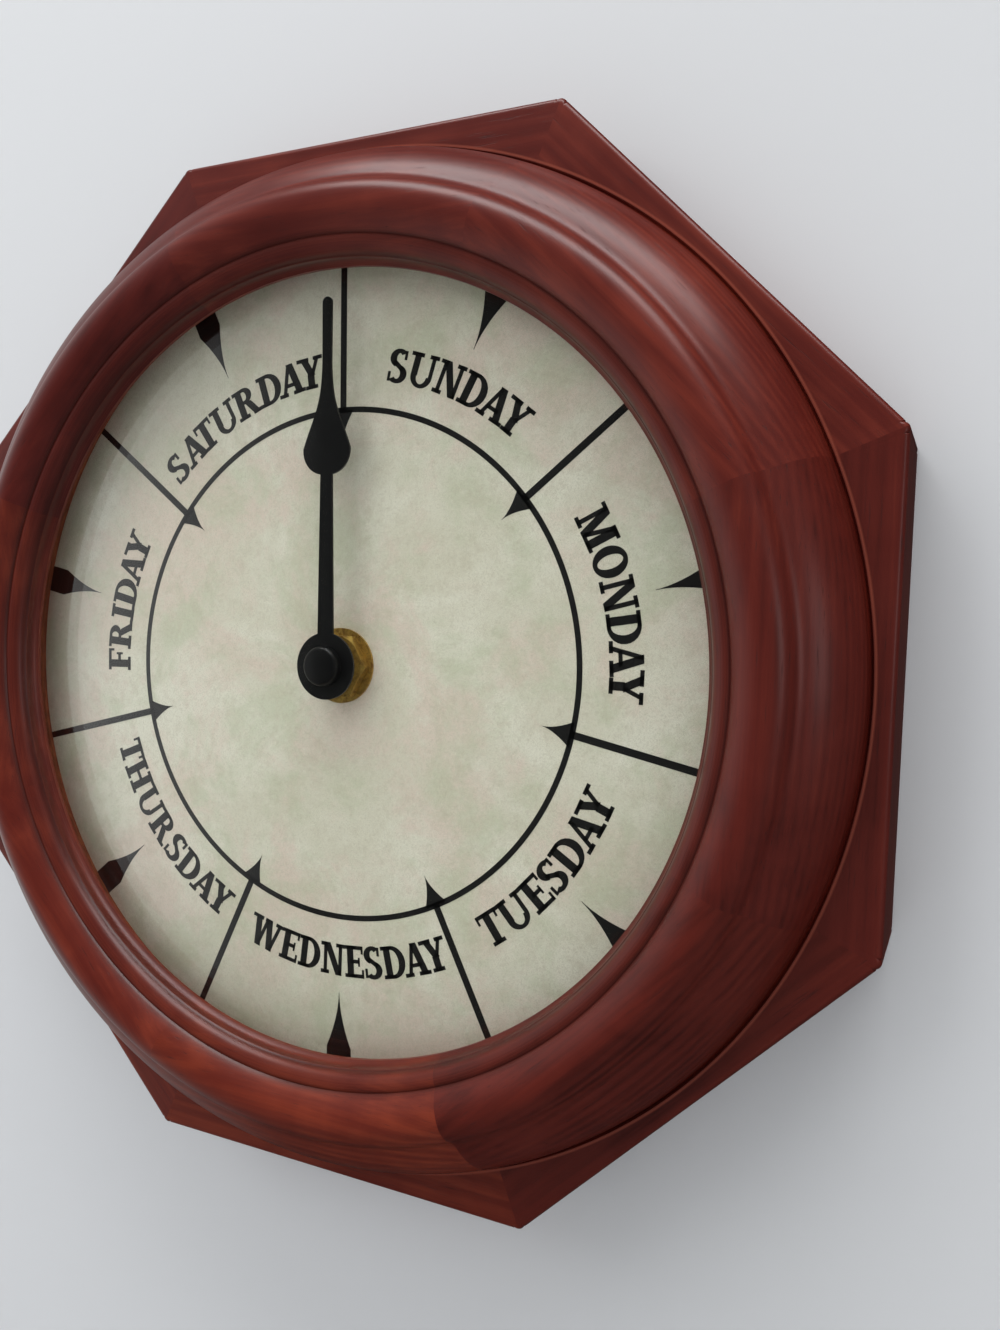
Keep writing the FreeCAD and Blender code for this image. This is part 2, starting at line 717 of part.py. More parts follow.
def second_wheel():
    tooth = direction(SECOND, ROTOR)
    body = toothed(MOTOR_WHEEL, MOTOR_MODULE, SECOND_WHEEL_AT, SECOND, tooth)
    body = spoked(body, MOTOR_WHEEL, MOTOR_MODULE, SECOND_WHEEL_AT, SECOND, SECOND_HUB)
    return body.cut(disc(SECOND_ARBOR, inside(0), inside(12), SECOND))


def rotor_pinion():
    """Plastic rotor arbor moulded with its pinion and two pivots."""
    tooth = direction(ROTOR, SECOND) + 180.0 / MOTOR_PINION
    teeth = toothed(MOTOR_PINION, MOTOR_MODULE, ROTOR_PINION_AT, ROTOR, tooth)
    return teeth.fuse(arbor(ROTOR, ROTOR_ARBOR)).removeSplitter()


def rotor_magnet():
    return ring(MAGNET_RADIUS, ROTOR_ARBOR, inside(MAGNET_AT[0]), inside(MAGNET_AT[1]), ROTOR)


# Motor and electronics

COIL_LOW = -6.5
COIL_X = (-24.6, -11.4)


def coil_core_block(y0, y1):
    return block(COIL_X[0] - 1.2, COIL_X[1] + 1.2, y0, y1, COIL_LOW - 1.2, COIL_LOW + 1.2)


def stator():
    """Laminated iron: the core through the coil and two cheeks round the rotor."""
    y0 = inside(5.4)
    y1 = inside(6.6)
    reach = ROTOR[1] + 4.6
    left = block(COIL_X[0] - 1.2, COIL_X[0] + 1.0, y0, y1, COIL_LOW - 1.2, reach)
    right = block(COIL_X[1] - 1.0, COIL_X[1] + 1.2, y0, y1, COIL_LOW - 1.2, ROTOR[1])
    bridge = block(COIL_X[0] - 1.2, COIL_X[1] + 1.2, y0, y1, ROTOR[1] - 4.6, reach)
    body = left.fuse(right).fuse(bridge).fuse(coil_core_block(y0, y1)).removeSplitter()
    return body.cut(disc(3.3, y0 - 1, y1 + 1, ROTOR))


def coil_bobbin():
    """Plastic former with two end cheeks, slid over the core."""
    y_middle = inside(6.0)
    x0 = COIL_X[0] + 1.1
    x1 = COIL_X[1] - 1.1
    tube = block(x0, x1, y_middle - 1.4, y_middle + 1.4, COIL_LOW - 2.0, COIL_LOW + 2.0)
    for x in (x0, x1 - 0.8):
        tube = tube.fuse(block(x, x + 0.8, y_middle - 3.6, y_middle + 3.6, COIL_LOW - 3.6, COIL_LOW + 3.6))
    core = block(x0 - 1, x1 + 1, y_middle - 0.65, y_middle + 0.65, COIL_LOW - 1.25, COIL_LOW + 1.25)
    return tube.cut(core).removeSplitter()


def coil_winding():
    """Enamelled wire wound solid on the bobbin."""
    y_middle = inside(6.0)
    x0 = COIL_X[0] + 1.95
    x1 = COIL_X[1] - 1.95
    outer = block(x0, x1, y_middle - 3.1, y_middle + 3.1, COIL_LOW - 3.2, COIL_LOW + 3.2)
    edges = [e for e in outer.Edges if abs(e.tangentAt(e.FirstParameter).x) > 0.99]
    outer = outer.makeFillet(1.2, edges)
    return outer.cut(block(x0 - 1, x1 + 1, y_middle - 1.45, y_middle + 1.45, COIL_LOW - 2.05, COIL_LOW + 2.05))


BOARD_X = (-20.6, -6.0)
BOARD_Z = (19.6, 26.2)
BOARD_Y = 7.0


def circuit_board():
    return block(BOARD_X[0], BOARD_X[1], inside(BOARD_Y), inside(BOARD_Y + 1.0), BOARD_Z[0], BOARD_Z[1])


def quartz_crystal():
    """Small sealed can lying along the circuit board."""
    start = V(BOARD_X[0] + 1.0, inside(BOARD_Y + 2.0), BOARD_Z[1] - 1.6)
    return Part.makeCylinder(1.0, 6.0, start, V(1, 0, 0))


def chip_cap():
    """Domed resin cap over the clock chip."""
    y0 = inside(BOARD_Y + 1.0)
    centre = (BOARD_X[1] - 3.4, (BOARD_Z[0] + BOARD_Z[1]) / 2 - 0.4)
    body = disc(2.4, y0, y0 + 1.2, centre)
    crown = [e for e in body.Edges if abs(e.CenterOfMass.y - y0 - 1.2) < 0.01]
    return body.makeFillet(0.9, crown)


# Case

def movement_case():
    """Open-backed case: front wall, side walls, battery bay, posts and pivot holes."""
    half = CASE_SIDE / 2
    inner = half - CASE_WALL
    body = rounded_block(-half, half, inside(0), inside(CASE_DEPTH), -half, half, CASE_CORNER)
    gear_room = block(-inner, inner, inside(CASE_WALL), inside(CASE_DEPTH + 1), BAY_HIGH + BAY_WALL, inner)
    bay = block(-inner, inner, inside(CASE_WALL), inside(CASE_DEPTH + 1), BAY_LOW, BAY_HIGH)
    cover_seat = block(-half - 1, half + 1, inside(CASE_DEPTH - COVER), inside(CASE_DEPTH + 1), BAY_HIGH, half + 1)
    body = body.cut(gear_room).cut(bay).cut(cover_seat)
    for post in POSTS:
        body = body.fuse(disc(POST_RADIUS, inside(CASE_WALL), inside(PLATE_AT), post))
    body = body.cut(disc(THREAD_RADIUS + FIT, inside(-1), inside(CASE_WALL + 1)))
    for pivot in (IDLER, SETTER, SECOND, ROTOR):
        body = body.cut(disc(PIVOT_BORE, inside(0.7), inside(CASE_WALL + 1), pivot))
    return body.removeSplitter()


def train_plate():
    """Plastic plate on the posts that holds the rear pivots of the train."""
    body = rounded_block(-25.0, 25.0, inside(PLATE_AT), inside(PLATE_AT + PLATE), -10.0, 25.5, 3.0)
    y0 = inside(PLATE_AT) - 1
    y1 = inside(PLATE_AT + PLATE) + 1
    for pivot in ((0, 0), IDLER, SECOND, ROTOR):
        body = body.cut(disc(PIVOT_BORE, y0, y1, pivot))
    return body.cut(disc(SET_ARBOR_BORE, y0, y1, SETTER))


def movement_rear_cover():
    """Rear lid over the gear room with a sunk well for the set knob."""
    half = CASE_SIDE / 2
    y0 = inside(CASE_DEPTH - COVER)
    body = rounded_block(-half, half, y0, inside(CASE_DEPTH), -half, half, CASE_CORNER)
    body = body.cut(block(-half - 1, half + 1, y0 - 1, 1, -half - 1, BAY_HIGH))
    well = disc(WELL_OUTER, inside(WELL_FLOOR[0]), inside(CASE_DEPTH), SETTER)
    body = body.fuse(well).cut(disc(WELL_INNER, inside(WELL_FLOOR[1]), inside(CASE_DEPTH + 1), SETTER))
    return body.cut(disc(SET_ARBOR_BORE, inside(10), inside(CASE_DEPTH), SETTER)).removeSplitter()


# Battery

def battery():
    """AA cell on its side, positive end to the right."""
    y, z = inside(BATTERY_AT[0]), BATTERY_AT[1]
    body = Part.makeCylinder(BATTERY_RADIUS, BATTERY_LENGTH - BATTERY_NUB, V(BATTERY_LEFT, y, z), V(1, 0, 0))
    ends = [e for e in body.Edges if abs(e.tangentAt(e.FirstParameter).x) < 0.5]
    body = body.makeFillet(0.7, ends)
    nub_at = BATTERY_LEFT + BATTERY_LENGTH - BATTERY_NUB
    return body.fuse(Part.makeCylinder(2.7, BATTERY_NUB, V(nub_at, y, z), V(1, 0, 0)))


def battery_contact_plus():
    inner = CASE_SIDE / 2 - CASE_WALL
    y = inside(BATTERY_AT[0])
    z = BATTERY_AT[1]
    return block(inner - 0.4, inner, y - 5.0, y + 5.0, z - 4.5, z + 4.5)


def battery_contact_minus():
    """Sprung strip: a flat back with a bowed leaf that bears on the cell's end."""
    inner = CASE_SIDE / 2 - CASE_WALL
    y = inside(BATTERY_AT[0])
    z = BATTERY_AT[1]
    back = block(-inner, -inner + 0.4, y - 5.0, y + 5.0, z - 4.0, z + 4.0)
    outer = [V(-inner + 0.4, y - 4.5, z - 3), V(-inner + 1.3, y, z - 3), V(-inner + 0.4, y + 4.5, z - 3)]
    bow = Part.Arc(outer[0], outer[1], outer[2]).toShape()
    chord = Part.LineSegment(outer[2], outer[0]).toShape()
    leaf = Part.Face(Part.Wire([bow, chord])).extrude(V(0, 0, 6))
    return back.fuse(leaf).removeSplitter()


def nodes():
    """Every node of the clock by name, about the hand's axis."""
    shapes = frame_staves()
    shapes["keyhole_hanger"] = keyhole_hanger()
    shapes["hanger_screws"] = Part.makeCompound([hanger_screw(-HANGER_SCREW_X), hanger_screw(HANGER_SCREW_X)])
    shapes["dial_retaining_tabs"] = on_tab_staves(dial_tab())
    shapes["dial_tab_screws"] = on_tab_staves(tab_screw())
    makers = (
        convex_lens, lens_spacer_ring, dial_face, dial_board, rubber_washer, threaded_bushing,
        brass_washer, hex_nut, day_hand, hand_bushing, cap_nut, day_arbor, day_wheel,
        idler_arbor, idler_pinion, idler_wheel, set_arbor, set_pinion, set_knob, clutch_spring,
        drive_wheel, second_arbor, second_pinion, second_wheel, rotor_pinion, rotor_magnet,
        stator, coil_bobbin, coil_winding, circuit_board, quartz_crystal, chip_cap,
        movement_case, train_plate, movement_rear_cover,
        battery, battery_contact_plus, battery_contact_minus,
    )
    for maker in makers:
        shapes[maker.__name__] = maker()
    return shapes


def main():
    os.makedirs("parts", exist_ok=True)
    for node, shape in nodes().items():
        shape.translate(V(0, 0, -HANG_HEIGHT))
        shape.exportStep("parts/" + node + ".step")
        print(node, "valid", shape.isValid(), "solids", len(shape.Solids), "mm3", round(shape.Volume, 1))


main()
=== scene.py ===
# %% [markdown]
# # A wall clock that shows the day of the week
# The clock has an eight-sided wooden frame with a turned moulding, a domed glass, a parchment
# dial split into seven days and one black hand that goes round once a week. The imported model
# already holds every piece at its real size, so this lesson only dresses it: it gives each
# piece the finish that it has on the real clock, and remakes the few pieces whose smooth
# curves deserve a finer mesh.

# %% Load the frame
import math

import bmesh
import bpy
from mathutils import Matrix, Vector


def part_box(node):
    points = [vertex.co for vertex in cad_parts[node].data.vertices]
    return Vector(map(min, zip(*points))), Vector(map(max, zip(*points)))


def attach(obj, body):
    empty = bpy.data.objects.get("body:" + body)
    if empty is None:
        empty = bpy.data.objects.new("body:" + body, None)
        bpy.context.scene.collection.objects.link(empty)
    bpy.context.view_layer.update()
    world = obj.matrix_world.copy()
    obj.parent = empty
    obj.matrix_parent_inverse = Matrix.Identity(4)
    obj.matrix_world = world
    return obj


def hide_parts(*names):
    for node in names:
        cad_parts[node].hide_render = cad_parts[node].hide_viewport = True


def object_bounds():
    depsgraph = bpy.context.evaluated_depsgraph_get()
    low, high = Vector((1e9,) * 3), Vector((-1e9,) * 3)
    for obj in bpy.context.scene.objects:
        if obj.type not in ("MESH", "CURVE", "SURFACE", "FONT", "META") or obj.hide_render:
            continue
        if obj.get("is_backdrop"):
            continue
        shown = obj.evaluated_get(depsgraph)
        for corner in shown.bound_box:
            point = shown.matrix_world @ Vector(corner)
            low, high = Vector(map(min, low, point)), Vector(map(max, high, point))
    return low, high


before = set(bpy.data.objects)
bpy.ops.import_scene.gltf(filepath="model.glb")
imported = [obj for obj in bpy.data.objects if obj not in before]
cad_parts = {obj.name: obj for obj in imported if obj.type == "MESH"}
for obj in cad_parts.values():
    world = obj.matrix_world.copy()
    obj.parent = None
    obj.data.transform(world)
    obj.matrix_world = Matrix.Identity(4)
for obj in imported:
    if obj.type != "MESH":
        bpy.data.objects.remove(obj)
cad_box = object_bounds()
MM = 0.001
print("pieces in the frame:", len(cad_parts))

# %% [markdown]
# Everything on this clock is laid out round the hand's arbor, so the first numbers needed are
# where that axis is and where the dial's surface is. Both come from the dial's own box, and
# not from typed coordinates, so the scene follows the model if the model changes.

# %% The arbor's axis and the dial's surface
dial_low, dial_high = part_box("dial_face")
AXIS_X = (dial_low.x + dial_high.x) / 2
AXIS_Z = (dial_low.z + dial_high.z) / 2
DIAL_Y = dial_low.y
DIAL_EDGE = (dial_high.x - dial_low.x) / 2
DIAL_CENTRE = Vector((AXIS_X, DIAL_Y, AXIS_Z))
BACK_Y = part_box("frame_stave_bottom")[1].y
print("dial centre", [round(v, 4) for v in DIAL_CENTRE], "edge radius", round(DIAL_EDGE, 4))

# %% [markdown]
# The photograph is taken from close by, a little to the right of the clock and level with it.
# A close camera gives strong perspective, so the camera is placed from its real distance: its
# offset from the dial's centre is in ring radii, the unit that the printed ring gives. The
# two directions say where it looks and which way is up, with the slight roll of a hand-held
# picture. The clock in the picture has its dial glued in a degree and a half to the left, so
# the camera, which was found from the print, takes the same turn about the dial's middle.

# %% Camera
PRINT_TURN = -1.5
RING_RADIUS = 52.7 * MM
CAMERA_OFFSET = Vector((2.2722, -3.4160, 0.1448))
CAMERA_LOOK = Vector((-0.42022, 0.90681, -0.03338))
CAMERA_UP = Vector((-0.02534, 0.02505, 0.99937))
FOCAL_PIXELS = 1027.85
IMAGE_HEIGHT = 1330
SENSOR = 36.0


def add_camera():
    """The photograph's viewpoint, as a camera whose long side is the picture's height."""
    data = bpy.data.cameras.new("camera")
    data.sensor_width = SENSOR
    data.lens = FOCAL_PIXELS * SENSOR / IMAGE_HEIGHT
    data.clip_start = 0.01
    camera = bpy.data.objects.new("camera", data)
    bpy.context.scene.collection.objects.link(camera)
    back = -CAMERA_LOOK.normalized()
    right = CAMERA_UP.cross(back).normalized()
    up = back.cross(right)
    axes = Matrix((right, up, back)).transposed().to_4x4()
    with_print = Matrix.Rotation(math.radians(PRINT_TURN), 4, "Y")
    from_dial = Matrix.Translation(CAMERA_OFFSET * RING_RADIUS) @ axes
    camera.matrix_world = Matrix.Translation(DIAL_CENTRE) @ with_print @ from_dial
    bpy.context.scene.camera = camera
    return camera


camera = add_camera()
print("camera at", [round(v, 4) for v in camera.location], "lens", round(camera.data.lens, 2))

# %% [markdown]
# ## Writing materials as sums
# Shader trees are easier to read as arithmetic. A Wire is one value on its way through a
# material, and adding or multiplying two of them adds the Math node that does it. A Finish
# is a material with one method that makes any other node.

# %% Wires and finishes
class Wire:
    """One value in a material. Arithmetic on it adds Math nodes."""

    def __init__(self, finish, socket):
        self.finish = finish
        self.socket = socket

    def math(self, operation, *values):
        return self.finish.node("ShaderNodeMath", {"operation": operation}, list(values))

    def __add__(self, other):
        return self.math("ADD", self, other)

    def __sub__(self, other):
        return self.math("SUBTRACT", self, other)

    def __rsub__(self, other):
        return self.math("SUBTRACT", other, self)

    def __mul__(self, other):
        return self.math("MULTIPLY", self, other)

    def __truediv__(self, other):
        return self.math("DIVIDE", self, other)

    def __pow__(self, other):
        return self.math("POWER", self, other)

    def size(self):
        return self.math("ABSOLUTE", self)

    def wave(self):
        return self.math("SINE", self)

    def kept(self):
        """Held between 0 and 1."""
        return self.finish.node("ShaderNodeClamp", {}, {"Value": self})

    __radd__ = __add__
    __rmul__ = __mul__


class Finish:
    """A material with a Principled shader, and one method for every other node."""

    def __init__(self, name, **plain):
        self.material = bpy.data.materials.new(name)
        self.material.use_nodes = True
        self.tree = self.material.node_tree
        self.shader = next(n for n in self.tree.nodes if n.type == "BSDF_PRINCIPLED")
        self.output = next(n for n in self.tree.nodes if n.type == "OUTPUT_MATERIAL")
        for socket, value in plain.items():
            self.shader.inputs[socket.replace("_", " ")].default_value = value

    def node(self, kind, settings=None, sockets=None, out=0):
        made = self.tree.nodes.new(kind)
        for key, value in (settings or {}).items():
            setattr(made, key, value)
        pairs = sockets.items() if isinstance(sockets, dict) else enumerate(sockets or [])
        for key, value in pairs:
            if isinstance(value, Wire):
                self.tree.links.new(value.socket, made.inputs[key])
            else:
                made.inputs[key].default_value = value
        return Wire(self, made.outputs[out])

    def feed(self, socket, wire):
        self.tree.links.new(wire.socket, self.shader.inputs[socket])

    def paint(self, factor, first, second):
        """Feeds the colour from a mix of two."""
        self.feed("Base Color", mixed(self, factor, first, second))

    def show(self, surface):
        """Makes another shader the one that is seen."""
        self.tree.links.new(surface.socket, self.output.inputs["Surface"])

    def bump(self, height, distance, strength=1.0):
        """Feeds the normal from a height in the range 0 to 1, distance metres tall."""
        sockets = {"Strength": strength, "Distance": distance, "Height": height}
        self.feed("Normal", self.node("ShaderNodeBump", {}, sockets))


def srgb(red, green, blue):
    """A colour as seen in a picture, 0 to 255, turned into light."""
    parts = [value / 255 for value in (red, green, blue)]
    light = [v / 12.92 if v <= 0.04045 else ((v + 0.055) / 1.055) ** 2.4 for v in parts]
    return (*light, 1)


print("a mid wood red as light:", [round(v, 3) for v in srgb(120, 45, 38)])

# %% [markdown]
# Most finishes share a few helpers: the place of a point on the piece, noise at a scale given
# in real size, a soft step from 0 to 1, and a mix of two colours. The place is the piece's
# own, so the pattern stays on a piece that moves.

# %% Place, noise and colour mixing
def place(finish):
    """Position on the piece, in metres."""
    return finish.node("ShaderNodeTexCoord", {}, {}, 3)


def stretched(vector, x, y, z):
    return vector.finish.node("ShaderNodeVectorMath", {"operation": "MULTIPLY"}, [vector, (x, y, z)])


def moved(vector, offset):
    return vector.finish.node("ShaderNodeVectorMath", {"operation": "ADD"}, [vector, offset])


def noise(vector, feature, detail=3.0, rough=0.55, twist=0.0):
    """Noise from 0 to 1 whose blotches are about feature metres across."""
    return vector.finish.node("ShaderNodeTexNoise", {}, {
        "Vector": vector, "Scale": 1 / feature, "Detail": detail, "Roughness": rough, "Distortion": twist})


def steps(value, low, high):
    """0 below low, 1 above high, smooth between."""
    settings = {"interpolation_type": "SMOOTHSTEP"}
    sockets = {"Value": value, "From Min": low, "From Max": high}
    return value.finish.node("ShaderNodeMapRange", settings, sockets)


def mixed(finish, factor, first, second):
    """A colour between two, the second one where factor is 1."""
    return finish.node("ShaderNodeMix", {"data_type": "RGBA"}, {0: factor, 6: first, 7: second}, 2)


def radius_of(vector):
    """Distance of a point from the hand's axis, in metres."""
    centred = moved(vector, (-AXIS_X, 0, -AXIS_Z))
    flat = stretched(centred, 1, 0, 1)
    return flat.finish.node("ShaderNodeVectorMath", {"operation": "LENGTH"}, [flat], 1)


print("the arbor's axis for the finishes: x", round(AXIS_X, 4), "z", round(AXIS_Z, 4))

# %% [markdown]
# ## The wooden frame
# Eight boards are mitred into a ring, and the moulding is then turned on the front, so the
# round beads cut through the grain of eight straight boards. The frame could keep the packed
# mesh, but its satin lacquer shows long highlights, and those want a finer mesh and softened
# creases. So each board is swept again from its section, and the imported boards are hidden.

# %% Sizes of the frame's section, in millimetres from the axis and above the dial
APOTHEM = (cad_box[1].x - cad_box[0].x) / 2 / MM
OCTAGON_DEPTH = (BACK_Y - DIAL_Y) / MM
REBATE = 87.0
RECESS = 92.0
SHOULDER = -3.3
SEAT = 4.6
SEAT_STEP = 0.7
SPACER = 85.2
LIP = (78.9, 7.8)
LIP_EDGE = 0.75
COVE = ((79.65, 8.75), (79.8, 10.3))
BEAD = ((80.1, 10.3), (81.05, 12.05), (83.3, 12.8))
FINE_GROOVE = (83.5, 12.45)
CREST = ((83.7, 13.0), (86.0, 14.9), (89.2, 15.8))
CREST_FALL = ((92.0, 15.1), (93.6, 13.3))
VALLEY = ((94.38, 12.44), (95.4, 11.9))
SLOPE_MIDDLE = (100.5, 8.1)
V_GROOVE = (103.8, 104.5, 0.6)
EASE = 1.2
STAVE_SWEEP = 45.0
print("across flats", round(2 * APOTHEM, 1), "octagon depth", round(OCTAGON_DEPTH, 1))


# %% [markdown]
# A section is a list of points. Its beads are arcs through three known points: the two ends
# and the crest, which is how they would be measured on the real moulding with a gauge.

# %% Arcs and the turned part of the section
def arc_through(start, middle, end, count):
    """Points along the circle through three points, without the first one."""
    (ax, ay), (bx, by), (cx, cy) = start, middle, end
    d = 2 * (ax * (by - cy) + bx * (cy - ay) + cx * (ay - by))
    a2, b2, c2 = ax * ax + ay * ay, bx * bx + by * by, cx * cx + cy * cy
    ux = (a2 * (by - cy) + b2 * (cy - ay) + c2 * (ay - by)) / d
    uy = (a2 * (cx - bx) + b2 * (ax - cx) + c2 * (bx - ax)) / d
    radius = math.hypot(ax - ux, ay - uy)
    first = math.atan2(ay - uy, ax - ux)
    via = (math.atan2(by - uy, bx - ux) - first) % math.tau
    sweep = (math.atan2(cy - uy, cx - ux) - first) % math.tau
    if via > sweep:
        sweep -= math.tau
    turns = [first + sweep * k / count for k in range(1, count + 1)]
    return [(ux + radius * math.cos(t), uy + radius * math.sin(t)) for t in turns]


def softened(points, passes):
    """Rounds the creases between arcs a little, as sanding does, and keeps both ends."""
    for _ in range(passes):
        inner = [
            ((a[0] + 2 * b[0] + c[0]) / 4, (a[1] + 2 * b[1] + c[1]) / 4)
            for a, b, c in zip(points, points[1:], points[2:])
        ]
        points = [points[0]] + inner + [points[-1]]
    return points


def moulding():
    """The front of the section from the lip's edge out to the V groove."""
    inner = [LIP] + arc_through(LIP, *COVE, 8) + [BEAD[0]] + arc_through(*BEAD, 14)
    inner += [FINE_GROOVE, CREST[0]]
    outer = [CREST[0]] + arc_through(*CREST, 22)
    outer += arc_through(CREST[-1], *CREST_FALL, 18)
    outer += arc_through(CREST_FALL[-1], *VALLEY, 8)
    outer += arc_through(VALLEY[-1], SLOPE_MIDDLE, (V_GROOVE[0], 0), 36)
    return softened(inner, 1)[:-1] + softened(outer, 4)


def octagon_reach(turn):
    """Distance from the axis to the octagon's side, with its corner rounded off."""
    half = math.radians(STAVE_SWEEP / 2)
    side = APOTHEM / math.cos(turn)
    centre = (APOTHEM - EASE) / math.cos(half)
    off = half - abs(turn)
    across = centre * math.sin(off)
    if across >= EASE:
        return side
    return min(side, centre * math.cos(off) + math.sqrt(EASE ** 2 - across ** 2))


def section_at(turn, front):
    """Closed section of a board at an angle from its middle."""
    reach = octagon_reach(turn)
    back = -OCTAGON_DEPTH
    inside = [(RECESS, back), (RECESS, SHOULDER), (REBATE, SHOULDER), (REBATE, SEAT), (SPACER, SEAT)]
    inside += [(SPACER, SEAT + SEAT_STEP), (LIP[0], LIP[1] - LIP_EDGE)]
    groove = [((V_GROOVE[0] + V_GROOVE[1]) / 2, -V_GROOVE[2]), (V_GROOVE[1], 0)]
    ease = [math.radians(10 * k) for k in range(10)]
    edge = [(reach - EASE + EASE * math.sin(t), -EASE + EASE * math.cos(t)) for t in ease]
    return inside + front + groove + edge + [(reach, back)]


front_points = moulding()
rise = max(height for radius, height in front_points)
print("points along the moulding:", len(front_points), "rise", round(rise, 2), "mm")


# %% [markdown]
# One function sweeps a closed section round the axis into a mesh. The boards use it over 45
# degrees with flat mitred ends, and the glass and the cap nut use it all the way round.

# %% Sweeping a section round the axis
def around(radius, height, turn):
    """A point from its distance to the axis, its height above the dial and its clock angle."""
    x = AXIS_X + radius * MM * math.sin(turn)
    z = AXIS_Z + radius * MM * math.cos(turn)
    return x, DIAL_Y - height * MM, z


def smoothed(mesh, below):
    """Shades a mesh smooth, except where its faces meet at more than an angle."""
    for polygon in mesh.polygons:
        polygon.use_smooth = True
    mesh.set_sharp_from_angle(angle=math.radians(below))


def add_piece(name, mesh, body, smooth_below=30.0):
    """Puts a mesh in the scene on a body."""
    piece = bpy.data.objects.new(name, mesh)
    bpy.context.scene.collection.objects.link(piece)
    smoothed(mesh, smooth_below)
    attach(piece, body)
    return piece


def joined(shape, rings, closed=False):
    """Faces between rings of points in order, with flat ends unless they close a circle."""
    count = len(rings)
    for k in range(count if closed else count - 1):
        one, other = rings[k], rings[(k + 1) % count]
        for i in range(len(one)):
            j = (i + 1) % len(one)
            shape.faces.new((one[i], one[j], other[j], other[i]))
    if not closed:
        shape.faces.new(rings[0][::-1])
        shape.faces.new(rings[-1])


def finished(name, shape):
    """Turns a shape's faces outwards and keeps it as a mesh."""
    mesh = bpy.data.meshes.new(name)
    bmesh.ops.recalc_face_normals(shape, faces=shape.faces)
    shape.to_mesh(mesh)
    shape.free()
    return mesh


def swept(name, sections, turns, closed):
    """Mesh of one section after another round the axis, with flat ends or all the way round."""
    shape = bmesh.new()
    rings = []
    for points, turn in zip(sections, turns):
        rings.append([shape.verts.new(around(radius, height, turn)) for radius, height in points])
    joined(shape, rings, closed)
    bmesh.ops.remove_doubles(shape, verts=shape.verts, dist=1e-7)
    return finished(name, shape)


def board_turns():
    """Angles across one board, closer together at its two rounded corners."""
    half = STAVE_SWEEP / 2
    middle = [-half + 1.0 + k * (STAVE_SWEEP - 2.0) / 56 for k in range(57)]
    ends = [half - 0.8 + 0.1 * k for k in range(9)]
    degrees = [-e for e in reversed(ends)] + middle + ends
    return [math.radians(d) for d in degrees]


print("sections along one board:", len(board_turns()))

# %% [markdown]
# The stain is a red-brown mahogany colour under satin lacquer. Up close it is not one colour:
# each board took the stain differently, growth rings show as soft bands, and pores as short dark
# streaks along the grain. Shade is painted into the grooves and on the inner beads as a darker
# colour. The pattern is cut from solid wood, so the bands follow the moulding as real grain
# would. Each board turns the pattern to its own length and starts at its own place in the log.
# The marks of turning, the painted shade and a painted highlight on the edge beside the V groove
# are on the front only. The table goes round the frame clockwise. It gives each board's
# lightness, and how far its stain leans to brown.

# %% Stained wood
RING_SPACING = 3.4 * MM
DARK_GROOVES = ((BEAD[0][0], 0.5), (FINE_GROOVE[0], 0.45))
# Radius and width, in millimetres, of a painted highlight along the edge just outside the V groove.
PAINTED_EDGE_HIGHLIGHT = (V_GROOVE[1] + 0.3, 0.35)
BOARD_TONES = {
    "top": (0.55, 0.35),
    "upper_right": (0.60, 0.35),
    "right": (0.44, 0.45),
    "lower_right": (0.41, 0.60),
    "bottom": (0.57, 0.85),
    "lower_left": (0.55, 0.60),
    "left": (0.50, 0.70),
    "upper_left": (0.46, 0.20),
}


def circle_mask(radius, at, width):
    """1 on a circle round the axis, and 0 from a little beside it."""
    return (1 - (radius - at * MM).size() / (width * MM)).kept()


def groove_shade(radius):
    """1 in the grooves, where shade is painted, and 0 elsewhere."""
    total = 0.0
    for at, width in DARK_GROOVES:
        total = circle_mask(radius, at, width) + total
    return total.kept()


